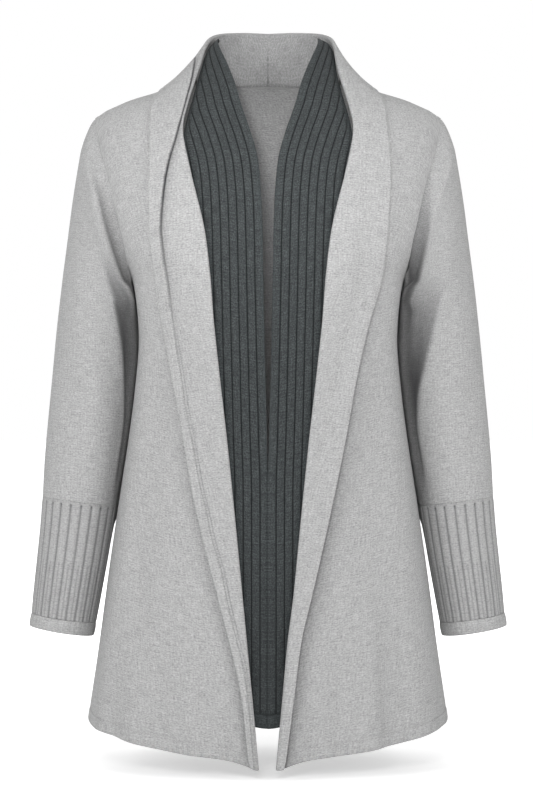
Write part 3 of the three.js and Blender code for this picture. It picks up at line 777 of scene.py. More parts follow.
# ---- finishes -----------------------------------------------------------------------------------
def srgb(code: str) -> tuple[float, float, float, float]:
    """Turn an sRGB colour into a linear one.

    Args:
        code: Its six hex digits.

    Returns:
        Red, green, blue and alpha, from 0 to 1.
    """
    parts = [int(code[i:i + 2], 16) / 255 for i in (0, 2, 4)]
    linear = [c / 12.92 if c <= 0.04045 else ((c + 0.055) / 1.055) ** 2.4 for c in parts]
    return (*linear, 1.0)


def add_node(
    tree: Tree, kind: str, links: dict[str | int, object] | None = None, **settings: object
) -> bpy.types.Node:
    """Add a shader node.

    Args:
        tree: Tree to add it to.
        kind: Its type.
        links: For each input, an output socket to link or a value to set.
        settings: Its own properties.

    Returns:
        The node.
    """
    node = tree.nodes.new(kind)
    for name, value in settings.items():
        setattr(node, name, value)
    for name, value in (links or {}).items():
        if isinstance(value, Socket):
            tree.links.new(value, node.inputs[name])
        else:
            node.inputs[name].default_value = value
    return node


def calc(tree: Tree, operation: str, *values: object) -> Socket:
    """Result of one step of arithmetic in a shader."""
    return add_node(tree, "ShaderNodeMath", dict(enumerate(values)), operation=operation).outputs[0]


def remap(tree: Tree, value: Socket, source: Span, target: tuple[object, object]) -> Socket:
    """Carry a value from one range to another in a shader, held at the ends.

    Args:
        tree: Tree of the material.
        value: The value.
        source: Low and high end of its range.
        target: What the low and the high end become; each is a number or a socket.

    Returns:
        The new value.
    """
    ends = dict(zip(("From Min", "From Max", "To Min", "To Max"), (*source, *target)))
    return add_node(tree, "ShaderNodeMapRange", {0: value, **ends}).outputs[0]


def noise(tree: Tree, uv: Socket, cells: Span, detail: float, roughness: float = 0.5) -> Socket:
    """Soft noise along the cloth.

    Args:
        tree: Tree of the material.
        uv: Lengths along the cloth, in metres.
        cells: How many cells it has in a metre, across and up.
        detail: How many finer layers it has.
        roughness: Strength of each finer layer.

    Returns:
        Values about 0.5.
    """
    at = add_node(tree, "ShaderNodeMapping", {0: uv, "Scale": (*cells, 1.0)})
    settings = {"Vector": at.outputs[0], "Scale": 1.0, "Detail": detail, "Roughness": roughness}
    return add_node(tree, "ShaderNodeTexNoise", settings).outputs["Fac"]


@dataclass(frozen=True)
class KnitFinish:
    """Knitted yarn spun from light and dark fibres.

    Fine-gauge cotton and viscose knit has no gloss: its fuzz scatters light and brightens a little
    where the cloth turns away. The mixed fibres show as short flecks along the courses.
    wale and course are the width and height of a stitch in millimetres; a real fine gauge is about
    1.2 x 0.9, drawn slightly coarser so that it shows. fleck is the length and height of a fleck, and
    groove the colour of painted shade, mixed in by the groove attribute where shade is painted: in
    creases, grooves, eyelets and hollows, and as painted shadow beside a lifted edge.
    """

    name: str
    base: str
    dark: str
    pale: str
    wale: float
    course: float
    fleck: Span
    stitch_depth: float
    sheen: float
    groove: str | None = None

    def wave(self, tree: Tree, uv: Socket) -> Socket:
        """Height of plain knit stitches: two slanting legs to each wale.

        Args:
            tree: Tree of the material.
            uv: Lengths along the cloth, in metres.

        Returns:
            Heights from 0 to 1.
        """
        split = add_node(tree, "ShaderNodeSeparateXYZ", {0: uv})
        wales = calc(tree, "MULTIPLY", split.outputs[0], 1 / MM / self.wale)
        courses = calc(tree, "MULTIPLY", split.outputs[1], 1 / MM / self.course)
        off = calc(tree, "ABSOLUTE", calc(tree, "SUBTRACT", calc(tree, "FRACT", wales), 0.5))
        leg = calc(tree, "SINE", calc(tree, "MULTIPLY", off, 2 * math.pi))
        slant = calc(tree, "MULTIPLY_ADD", off, 1.1, courses)
        loop = calc(tree, "SINE", calc(tree, "MULTIPLY", slant, 2 * math.pi))
        return calc(tree, "MULTIPLY", leg, calc(tree, "MULTIPLY_ADD", loop, 0.35, 0.65))

    def yarn(self, tree: Tree, uv: Socket) -> Socket:
        """Shade of the mixed yarn: flecks, with faint streaks along the courses and the wales.

        Args:
            tree: Tree of the material.
            uv: Lengths along the cloth, in metres.

        Returns:
            Shades about 0.5.
        """
        wide, tall = self.fleck
        flecks, along_courses, along_wales = (wide, tall), (wide * 7, tall * 0.9), (1.3, 16.0)
        total = 0.0
        for share, (width, height) in ((0.5, flecks), (0.28, along_courses), (0.22, along_wales)):
            grain = noise(tree, uv, (1 / MM / width, 1 / MM / height), 2.0, 0.6)
            total = calc(tree, "MULTIPLY_ADD", grain, share, total)
        return total

    def make(self) -> bpy.types.Material:
        """Build the material."""
        made = bpy.data.materials.new(self.name)
        made.use_nodes = True
        tree = made.node_tree
        tree.nodes.clear()
        uv = add_node(tree, "ShaderNodeTexCoord").outputs["UV"]
        ramp = add_node(tree, "ShaderNodeValToRGB", {0: self.yarn(tree, uv)})
        marks = ramp.color_ramp.elements
        for mark, place, code in zip(
            (marks[0], marks.new(0.5), marks[-1]), (0.36, 0.5, 0.64), (self.dark, self.base, self.pale)
        ):
            mark.position = place
            mark.color = srgb(code)
        clouds = remap(tree, noise(tree, uv, (110.0, 150.0), 3.0), (0.3, 0.7), (0.965, 1.03))
        shaded = {0: ramp.outputs[0], 1: clouds}
        colour = add_node(tree, "ShaderNodeVectorMath", shaded, operation="MULTIPLY").outputs[0]
        # Painted shade: the groove attribute mixes the colour toward the groove colour.
        if self.groove is not None:
            depth = add_node(tree, "ShaderNodeAttribute", attribute_name="groove").outputs["Fac"]
            sunk = {0: depth, 6: colour, 7: srgb(self.groove)}
            colour = add_node(tree, "ShaderNodeMix", sunk, data_type="RGBA").outputs[2]
        fuzz = noise(tree, uv, (7000.0, 7000.0), 2.0)
        height = calc(tree, "MULTIPLY_ADD", fuzz, 0.7, self.wave(tree, uv))
        relief = {"Strength": 0.8, "Distance": self.stitch_depth * MM, "Height": height}
        bump = add_node(tree, "ShaderNodeBump", relief).outputs[0]
        shader = add_node(
            tree,
            "ShaderNodeBsdfPrincipled",
            {
                "Base Color": colour,
                "Roughness": 0.92,
                "IOR": 1.47,
                "Specular IOR Level": 0.25,
                "Sheen Weight": self.sheen,
                "Sheen Roughness": 0.45,
                "Sheen Tint": srgb("ffffff"),
                "Normal": bump,
            },
        )
        add_node(tree, "ShaderNodeOutputMaterial", {0: shader.outputs[0]})
        return made


@dataclass(frozen=True)
class Finishes:
    """The garment's finishes, made once."""

    # Each groove colour is the painted shade that the groove attribute mixes in.
    marl: bpy.types.Material = field(default_factory=lambda: KnitFinish(
        "grey marl jersey knit", "a8a8a8", "8a8a8a", "c3c3c3", 1.7, 1.2, (2.6, 1.2), 0.16, 0.06,
        groove="343436").make())
    marl_rib: bpy.types.Material = field(default_factory=lambda: KnitFinish(
        "grey marl rib knit", "a6a6a6", "919191", "b8b8b8", 1.6, 1.2, (2.4, 1.4), 0.16, 0.06,
        groove="58585a").make())
    charcoal: bpy.types.Material = field(default_factory=lambda: KnitFinish(
        "charcoal rib knit", "3b3f40", "282b2c", "535758", 1.6, 1.2, (1.5, 1.8), 0.2, 0.04,
        groove="0b0d0e").make())
    charcoal_plain: bpy.types.Material = field(default_factory=lambda: KnitFinish(
        "charcoal plain knit", "373b3c", "272a2b", "4c5051", 1.6, 1.2, (1.8, 1.4), 0.2, 0.04).make())
    thread: bpy.types.Material = field(default_factory=lambda: KnitFinish(
        "grey sewing thread", "8e8e8e", "7c7c7c", "9e9e9e", 0.6, 0.6, (1.0, 1.0), 0.05, 0.04).make())


# ---- panels -------------------------------------------------------------------------------------
HEM_TALL = 22.0  # where a panel's close rows at the hem end
HEM_STITCH = 14.0  # height of a hem's stitches over its edge
CHEST_CURVE = 230.0  # length of a panel from the underarm to the shoulder
PANEL_WIDTH = 190.0
SEAM_GAP = 0.05  # room between a piece and the middle of its seam
TUCK = 10.0  # how far a front goes in under the turned-back edge
CORNER_X, CORNER_Z = 97.0, -53.0  # where the turned-back edge becomes the collar
CORNER_LEVEL = FORM.level_at(CORNER_Z, CORNER_X)


def upper_levels(shares: Array, curve: float, depth: float = 108.0, rise: float = 205.0) -> Array:
    """Levels from 1 to 2 that are evenly spread along the curve from the chest to the shoulder.

    Args:
        shares: Shares of the curve's length.
        curve: Squareness of the curve.
        depth: Depth at the chest.
        rise: Height of the shoulder over the underarm.

    Returns:
        The levels.
    """
    height = 1 - (1 - np.linspace(0.0, 1.0, 3000)) ** 3
    out = depth * np.maximum(1 - height**curve, 0.0) ** (1 / curve)
    length = np.concatenate([[0.0], np.cumsum(np.hypot(np.diff(out), rise * np.diff(height)))])
    return 1 + np.interp(shares * length[-1], length, height)


def panel_levels(hem_rows: int, lower_rows: int, upper_rows: int, wall: float, curve: float) -> Array:
    """Levels of a panel's rows: close together at the hem, where it is turned up and rounded.

    Args:
        hem_rows: Rows in the hem.
        lower_rows: Rows from there to the underarm.
        upper_rows: Rows from the underarm to the shoulder.
        wall: Thickness of the cloth.
        curve: Squareness of the upper part.

    Returns:
        The levels, from 0 to 2.
    """
    tall = FORM.underarm - FORM.side_hem + FORM.front_dip
    hem = stops(hem_rows, HEM_TALL, (True, False), wall / 2) * HEM_TALL / tall
    lower = np.linspace(HEM_TALL / tall, 1.0, lower_rows + 1)[1:]
    shares = stops(upper_rows, CHEST_CURVE, (False, True), wall / 2)[1:]
    return np.concatenate([hem, lower, upper_levels(shares, curve)])


def front_inner_x(level: Array) -> Array:
    """Distance from the middle to the front panel's inner edge, tucked under the turned-back one.

    Args:
        level: Levels up the front.

    Returns:
        Distances, in millimetres.
    """
    share = np.clip((level - CORNER_LEVEL) / (2 - CORNER_LEVEL), 0.0, 1.0)
    high = mix(CORNER_X + TUCK, FORM.neck_x + FORM.neck_clear, share * share)
    return np.where(level <= CORNER_LEVEL, EDGE.fold(FORM.edge_z(level)) + TUCK, high)


def row_height(cloth: Cloth) -> Array:
    """Mean height of each row over the first one, along the cloth, as one column."""
    return cloth.lengths()[1][:, ::8].mean(axis=1, keepdims=True)


def from_ends(height: Array) -> Array:
    """Distance of each row from the nearer of the first and the last."""
    return np.minimum(height, height[-1] - height)


def hem_relief(height: Array) -> Array:
    """Push of a turned-up hem: fuller below its stitch line, and drawn in along it."""
    full = 0.55 * smooth(0.0, 3.0, height) * (1 - smooth(HEM_STITCH - 2, HEM_STITCH + 0.5, height))
    return full - 0.45 * hump(height - HEM_STITCH, 1.3)


def hem_line(cloth: Cloth) -> tuple[Array, Array]:
    """The line of a hem's stitches on a cloth, and the cloth's normals there."""
    return cloth.traced(cloth.lengths()[1], HEM_STITCH, by_row=False)


@dataclass(frozen=True)
class FrontPanel:
    """A front of the cardigan, from under the turned-back edge to the side seam and armhole.

    shade is how dark the painted shadow of the turned-back edge is on the cloth beside it, by height.
    """

    side: Side
    folds: tuple[Fold, ...]
    shade: Track
    wall: float = 1.6
    columns: int = 120
    wider: float = 3.5

    def cloth(self) -> Cloth:
        """The panel's cloth, with its hem and folds."""
        side = self.side.value
        level = panel_levels(12, 118, 62, self.wall, FORM.front_power)[:, None]
        share = stops(self.columns, PANEL_WIDTH, (False, True), self.wall / 2)[None, :]
        wider = self.wider * (1 - smooth(0.2, 0.4, level))
        start = FORM.angle_at(front_inner_x(level) - wider, level)
        angle = mix(start, FORM.reach_at(level), share)
        points = FORM.point(side * angle, level, np.array(True))
        points[level[:, 0] <= 1, -1, 1] = FORM.seam_y - SEAM_GAP
        points[-1, :, 1] = FORM.seam_y - SEAM_GAP
        cloth = Cloth(points, side)
        height = row_height(cloth)
        cloth = cloth.folded(self.folds).pushed(hem_relief(height))
        return cloth.rounded(self.wall, np.minimum(from_ends(height), (1 - share) * PANEL_WIDTH))

    def build(self, finishes: Finishes) -> bpy.types.Object:
        """Make the panel.

        Args:
            finishes: The garment's finishes.

        Returns:
            The object.
        """
        name = f"front_{self.side.label}"
        cloth = self.cloth()
        Stitching(f"{name}_hem_stitches").build(finishes, [hem_line(cloth)])
        # Painted shadow of the turned-back edge on the front, fading out from the edge, kept in the groove
        # attribute.
        x, z = np.abs(cloth.points[..., 0]), cloth.points[..., 2]
        off = np.maximum(x - getattr(EDGE, self.side.label)(z) - 1.0, 0.0)
        fade = mix(4.5, 8.0, smooth(-250.0, -600.0, z))
        groove = self.shade(z) * np.exp(-off / fade)
        return sew(cloth, Sewing(name, self.wall, finishes.marl), {"groove": groove})


@dataclass(frozen=True)
class BackPanel:
    """The back of the cardigan, from the hem to the neck and the shoulder seams."""

    folds: tuple[Fold, ...]
    wall: float = 1.6
    neck_columns: int = 29
    side_columns: int = 44
    shoulder: float = 110.0

    def cloth(self) -> Cloth:
        """The panel's cloth, with its hem and folds."""
        neck = FORM.neck_share * np.sin(np.linspace(0.0, math.pi / 2, self.neck_columns))
        beyond = stops(self.side_columns, self.shoulder, (False, True), self.wall / 2)
        half = np.concatenate([neck, mix(FORM.neck_share, 1.0, beyond)[1:]])
        share = np.concatenate([-half[:0:-1], half])[None, :]
        level = panel_levels(10, 100, 56, self.wall, FORM.back_power)[:, None]
        here = np.where(level <= 1, level, mix(1.0, FORM.back_top(share), level - 1))
        points = FORM.point(share * FORM.reach_at(here), here, np.array(False))
        for j in (0, -1):
            points[level[:, 0] <= 1, j, 1] = FORM.seam_y + SEAM_GAP
        points[-1, np.abs(share[0]) >= FORM.neck_share - 1e-6, 1] = FORM.seam_y + SEAM_GAP
        cloth = Cloth(points, -1)
        height = row_height(cloth)
        cloth = cloth.folded(self.folds).pushed(hem_relief(height))
        return cloth.rounded(self.wall, np.minimum(from_ends(height), (1 - np.abs(share)) * PANEL_WIDTH))

    def build(self, finishes: Finishes) -> bpy.types.Object:
        """Make the panel.

        Args:
            finishes: The garment's finishes.

        Returns:
            The object.
        """
        cloth = self.cloth()
        Stitching("back_hem_stitches").build(finishes, [hem_line(cloth)])
        return sew(cloth, Sewing("back", self.wall, finishes.marl))


# ---- sleeves ------------------------------------------------------------------------------------
@dataclass(frozen=True)
class Drag:
    """A drag fold round an arm, from one ring and angle to another."""

    from_ring: float
    from_angle: float
    to_ring: float
    to_angle: float
    reach: float
    height: float

    def push(self, ring: Array, angle: Array) -> Array:
        """How far the fold moves points of the sleeve.

        Args:
            ring: Ring number of each point.
            angle: Its angle round the arm.

        Returns:
            Distances, in millimetres.
        """
        share = (ring - self.from_ring) / (self.to_ring - self.from_ring)
        off = np.degrees(angle) - mix(self.from_angle, self.to_angle, share)
        inside = (share > 0) & (share < 1)
        return np.where(inside, self.height * np.sin(np.pi * share) * bell(off, self.reach * 2), 0.0)


def ring_frame(table: Table, at: Array, side: int) -> tuple[Array, Array, Array]:
    """Middle, half length and depth of the rings that cross an arm.

    Args:
        table: Sizes of the rings.
        at: Ring numbers.
        side: 1 on the wearer's left, -1 on the right.

    Returns:
        The middles, the ways to the outermost points and the depths.
    """
    in_z, out_x, out_z, y = table.in_z(at), table.out_x(at), table.out_z(at), table.y(at)
    in_x = BODY.width(in_z) + table.gap(at)
    middle = vec(side * (out_x + in_x) / 2, y, (out_z + in_z) / 2)
    return middle, vec(side * out_x, y, out_z) - middle, table.depth(at)


def arm_ring(table: Table, at: Array, side: int, angle: Array) -> Array:
    """Points round an arm; angles start at the outermost point and go round the front.

    Args:
        table: Sizes of the rings.
        at: Ring numbers.
        side: 1 on the wearer's left, -1 on the right.
        angle: Angles round the arm.

    Returns:
        The points, in millimetres.
    """
    middle, half, depth = ring_frame(table, np.broadcast_to(at, angle.shape), side)
    zero = np.zeros(angle.shape)
    return middle + half * np.cos(angle)[..., None] + vec(zero, -depth * np.sin(angle), zero)


def rested(cloth: Cloth, angle: Array, side: int) -> Cloth:
    """Lay the inner back of a sleeve against the side of the body, and keep the rest clear of it.

    Near the pit of the arm more of the sleeve rests, and further round. It hangs free lower down.

    Args:
        cloth: The sleeve or cuff.
        angle: Angle of each point round the arm.
        side: 1 on the wearer's left, -1 on the right.

    Returns:
        The cloth, moved in X only.
    """
    x, y, z = (cloth.points[..., k] for k in range(3))
    away = np.abs(x)
    gap = mix(0.6, 1.2, smooth(-440.0, -470.0, z))
    reach = BodySide(side)(y, z) + gap
    pit = smooth(-268.0, -240.0, z)
    middle, span = mix(206.0, 186.0, pit), mix(46.0, 84.0, pit)
    rests = (1 - smooth(-230.0, -220.0, z)) * smooth(-525.0, -480.0, z)
    close = bell(np.degrees(angle) - middle, span) * rests
    below_pit = smooth(-214.0, -228.0, z)
    near = away + below_pit * np.maximum(reach - away, 0.0)
    moved = near - close * np.maximum(near - reach, 0.0)
    return Cloth(vec(side * moved, y, z), cloth.turn, cloth.closed, cloth.thin)


@dataclass(frozen=True)
class Hollow:
    """A valley down the front of a sleeve, from the body or a ridge out to the edge of a fold.

    Its tracks run along Z: the valley's edges in X, its depth, and how dark it is painted at either
    edge, as painted shade where little light gets in. Below the armhole it starts at the side of the
    body. soft is how far its painted shade fades out over an edge.
    """

    inner: Track
    outer: Track
    depth: Track
    near: Track
    far: Track
    soft: float = 2.5

    def relief(self, cloth: Cloth) -> tuple[Array, Array]:
        """What the valley does to a sleeve.

        Args:
            cloth: The sleeve.

        Returns:
            Push along the normals in millimetres, and painted shade from 0 to 1.
        """
        x, z = np.abs(cloth.points[..., 0]), cloth.points[..., 2]
        beside_armhole = smooth(-300.0, -285.0, z)
        start = mix(BODY.width(z), self.inner(z), beside_armhole)
        wide = np.maximum(self.outer(z) - start, 5.0)
        share, soft = (x - start) / wide, self.soft / wide
        front = smooth(0.0, 0.5, -cloth.normals()[..., 1])
        begun = mix(1.0, smooth(-soft, soft, share), beside_armhole)
        dark = mix(self.near(z), self.far(z), np.clip(share, 0.0, 1.0))
        dark = dark * (1 - smooth(1 - soft, 1 + soft, share)) * begun * front
        lip = 0.15 * hump(share - 1.2, 0.25)
        return self.depth(z) * front * (lip - begun * (1 - smooth(0.5, 1.0, share))), dark


@dataclass(frozen=True)
class Sleeve:
    """A long sleeve from the armhole seam to the rib cuff."""

    side: Side
    drags: tuple[Drag, ...]
    folds: tuple[Fold, ...]
    hollows: tuple[Hollow, ...]
    wall: float = 1.6
    columns: int = 112
    head_end: float = 1.3

    def armhole(self) -> tuple[Array, Array, Array]:
        """The armhole's edge.

        Returns:
            For each column its angle round the first ring, its point, and the way out of the panel.
        """
        side = self.side.value
        shares = np.linspace(1.0, 0.0, 240)
        front = upper_levels(shares, FORM.front_power)
        back = upper_levels(shares[::-1], FORM.back_power)
        level = np.concatenate([front, back[1:-1]])
        is_front = np.arange(len(level)) < len(front)
        reach = FORM.reach_at(np.maximum(level, 1.0001))
        points = FORM.point(side * reach, level, is_front)
        inside = FORM.point(side * reach * 0.97, level, is_front)
        middle, half, depth = ring_frame(SLEEVE, np.array(0.0), side)
        off = points - middle
        angle = np.unwrap(np.arctan2(-off[:, 1] / depth, off @ half / (half @ half)))
        angle = (angle - angle[0]) / (angle[-1] - angle[0]) * 2 * np.pi
        loop = np.concatenate([points, points[:1]])
        length = np.concatenate([[0.0], np.cumsum(np.linalg.norm(np.diff(loop, axis=0), axis=1))])
        even = np.linspace(0.0, length[-1], self.columns, endpoint=False)
        angles = np.concatenate([angle, [2 * np.pi]])
        low = (1 - smooth(1.02, 1.3, level))[:, None]
        away = unit(mix(unit(points - inside), np.array([0.15 * side, 0.0, -1.0]), low))
        away = np.concatenate([away, away[:1]])

        def at(values: Array) -> Array:
            """Values at even lengths round the armhole."""
            return np.stack([np.interp(even, length, values[:, k]) for k in range(3)], axis=-1)

        return np.interp(even, length, angles), at(loop), unit(at(away))

    def cloth(self) -> tuple[Cloth, Array]:
        """The sleeve's cloth, with its folds, and the painted shade in its hollows."""
        side = self.side.value
        found, start, away = self.armhole()
        even = np.linspace(0.0, 2 * np.pi, self.columns, endpoint=False)
        head = stops(18, 30.0, (True, False), self.wall / 2) - 1
        rest = mix(self.head_end, 10.0, stops(138, 430.0, (False, False), self.wall / 2)[1:])
        ring = rest[:, None]
        angle = mix(found[None, :], even[None, :], smooth(self.head_end, 7.0, ring))
        rings = arm_ring(SLEEVE, ring, side, angle)
        first = arm_ring(SLEEVE, np.array(self.head_end), side, found)
        ahead = unit(arm_ring(SLEEVE, np.array(self.head_end + 0.25), side, found) - first)
        gap = 0.6 * np.linalg.norm(first - start, axis=-1, keepdims=True)
        t = (head + 1)[:, None, None]
        cap = (
            (2 * t**3 - 3 * t**2 + 1) * start
            + (t**3 - 2 * t**2 + t) * away * gap
            + (3 * t**2 - 2 * t**3) * first
            + (t**3 - t**2) * ahead * gap
        )
        points = np.concatenate([cap, rings])
        cloth = Cloth(points, side, closed=True)
        rows = np.concatenate([head, rest])[:, None]
        angles = np.concatenate([np.repeat(found[None, :], len(head), axis=0), angle])
        reliefs = [hollow.relief(cloth) for hollow in self.hollows]
        push = sum(drag.push(rows, angles) for drag in self.drags) + sum(deep for deep, _ in reliefs)
        cloth = rested(cloth.pushed(push).folded(self.folds), angles, side)
        return cloth.rounded(self.wall, row_height(cloth)), np.max([dark for _, dark in reliefs], axis=0)

    def build(self, finishes: Finishes) -> bpy.types.Object:
        """Make the sleeve.

        Args:
            finishes: The garment's finishes.

        Returns:
            The object.
        """
        cloth, dark = self.cloth()
        sewing = Sewing(f"sleeve_{self.side.label}", self.wall, finishes.marl, from_last=True)
        # The hollows' darkness is painted shade, kept in the groove attribute.
        return sew(cloth, sewing, {"groove": dark})


@dataclass(frozen=True)
class RibCuff:
    """A deep cuff of raised ribs; finer grooves split each rib lower down.

    groove and fine are the half widths of the grooves. A small eyelet ends each groove: at eyelet_at
    from the sleeve for a main one, and at small_at below split_from for a fine one. The cuff goes
    up inside the sleeve, and down inside the band, by tucked.
    """

    side: Side
    ribs: int = 22
    per_rib: int = 8
    rib_height: float = 1.2
    groove: float = 1.25
    fine: float = 0.95
    split_from: float = 70.0
    eyelet_at: float = 3.2
    small_at: float = 1.5
    tucked: float = 3.0
    wall: float = 1.5

    def build(self, finishes: Finishes) -> bpy.types.Object:
        """Make the cuff.

        Args:
            finishes: The garment's finishes.

        Returns:
            The object.
        """
        side = self.side.value
        count = self.ribs * self.per_rib
        angle = np.linspace(0.0, 2 * np.pi, count, endpoint=False)[None, :]
        share = stops(84, 135.0, (False, True), self.wall / 2)[:, None]
        rings = arm_ring(CUFF, 4 * share, side, angle * np.ones(share.shape))
        above = rings[:1] + self.tucked * unit(rings[:1] - rings[1:2])
        below = rings[-1:] + 0.8 * self.tucked * unit(rings[-1:] - rings[-4:-3])
        rings = np.concatenate([above, rings, below])
        cloth = rested(Cloth(rings, side, closed=True), angle * np.ones((len(rings), 1)), side)
        height = row_height(cloth) - self.tucked
        pitch = cloth.lengths()[0][:, -1:] / self.ribs
        phase = (angle / (2 * np.pi) * self.ribs) % 1.0
        main = np.minimum(phase, 1 - phase) * pitch
        half = np.abs(phase - 0.5) * pitch
        start = smooth(1.0, 5.0, height)
        split = smooth(0.0, 7.0, height - self.split_from)
        deep = hump(main, self.groove) * start
        fine = hump(half, self.fine) * split
        eyelet = hump(main, 1.1) * hump(height - self.eyelet_at, 1.5)
        small = hump(half, 0.9) * hump(height - self.split_from - self.small_at, 1.2)
        crown = 0.35 * np.sin(np.pi * np.minimum(main / pitch * 2, 1.0) / 2) * start
        relief = crown - self.rib_height * deep - 0.55 * fine - 0.9 * eyelet - 0.4 * small
        relief = relief - 0.3 * (height < -1.0) - 0.9 * (height > height[-2] - 0.2)
        cloth = cloth.pushed(relief).rounded(self.wall, height[-1] - height)
        # Painted shade in the grooves between the ribs and in the eyelets.
        dark = np.clip(0.62 * deep + 0.34 * fine + 0.75 * eyelet + 0.45 * small, 0.0, 1.0)
        name = f"ribbed_cuff_{self.side.label}"
        return sew(cloth, Sewing(name, self.wall, finishes.marl_rib, held="stretched"), {"groove": dark})


@dataclass(frozen=True)
class CuffBand:
    """The plain band that ends a cuff."""

    side: Side
    tall: float = 16.0
    columns: int = 132
    wall: float = 1.8

    def build(self, finishes: Finishes) -> bpy.types.Object:
        """Make the band.

        Args:
            finishes: The garment's finishes.

        Returns:
            The object.
        """
        side = self.side.value
        angle = np.linspace(0.0, 2 * np.pi, self.columns, endpoint=False)[None, :]
        share = stops(9, self.tall, (True, True), self.wall / 2)[:, None]
        cloth = Cloth(arm_ring(CUFF_BAND, share, side, angle * np.ones(share.shape)), side, closed=True)
        edge = from_ends(row_height(cloth))
        full, waves = 0.7 * np.sin(np.pi * share), 0.25 * np.sin(6 * angle + side)
        cloth = cloth.pushed(full + waves).rounded(self.wall, edge)
        return sew(cloth, Sewing(f"cuff_band_{self.side.label}", self.wall, finishes.marl))


# ---- collar and turned-back edge ----------------------------------------------------------------
@dataclass(frozen=True)
class Overlap:
    """A line down a turned-back edge where its outer layer lies over the one beside the V.

    Its tracks run by height: line is the line's distance from the middle, step how far the outer
    layer stands over the inner one, groove how deep the line is sunk and shade how dark it is painted,
    as painted shade along the line and under the outer layer. It ends behind the shoulder, and below
    twin_from it is a pair of stitch lines that are twin apart.
    """

    line: Track
    step: Track
    groove: Track
    shade: Track
    twin: float = 3.2
    twin_from: float = -285.0

    def relief(self, points: Array, legs: Array) -> tuple[Array, Array]:
        """Push of the layers, and their painted shade.

        Args:
            points: Points of the collar.
            legs: 1 for each column of the turned-back leg, or else 0.

        Returns:
            Push along the normals in millimetres, and painted shade from 0 to 1.
        """
        x, y, z = np.abs(points[..., 0]), points[..., 1], points[..., 2]
        off = (x - self.line(z)) * 0.98
        inside = legs * smooth(60.0, 30.0, z) * smooth(24.0, 4.0, y)
        low = 1 - smooth(self.twin_from - 15, self.twin_from + 10, z)
        rows = low * (hump(off, 0.7) + hump(off + self.twin, 0.7))
        push = self.step(z) * smooth(-0.7, 0.8, off) - self.groove(z) * hump(off + 1.2, 1.1) - 0.35 * rows
        # Painted shade along the line, under the outer layer's edge and in the stitch lines.
        under = hump(off, 7.0) * (off < 0)
        dark = self.shade(z) * (0.8 * hump(off + 0.9, 1.0) + 0.38 * under) + 0.2 * rows
        return push * inside, np.clip(dark * inside, 0.0, 1.0)


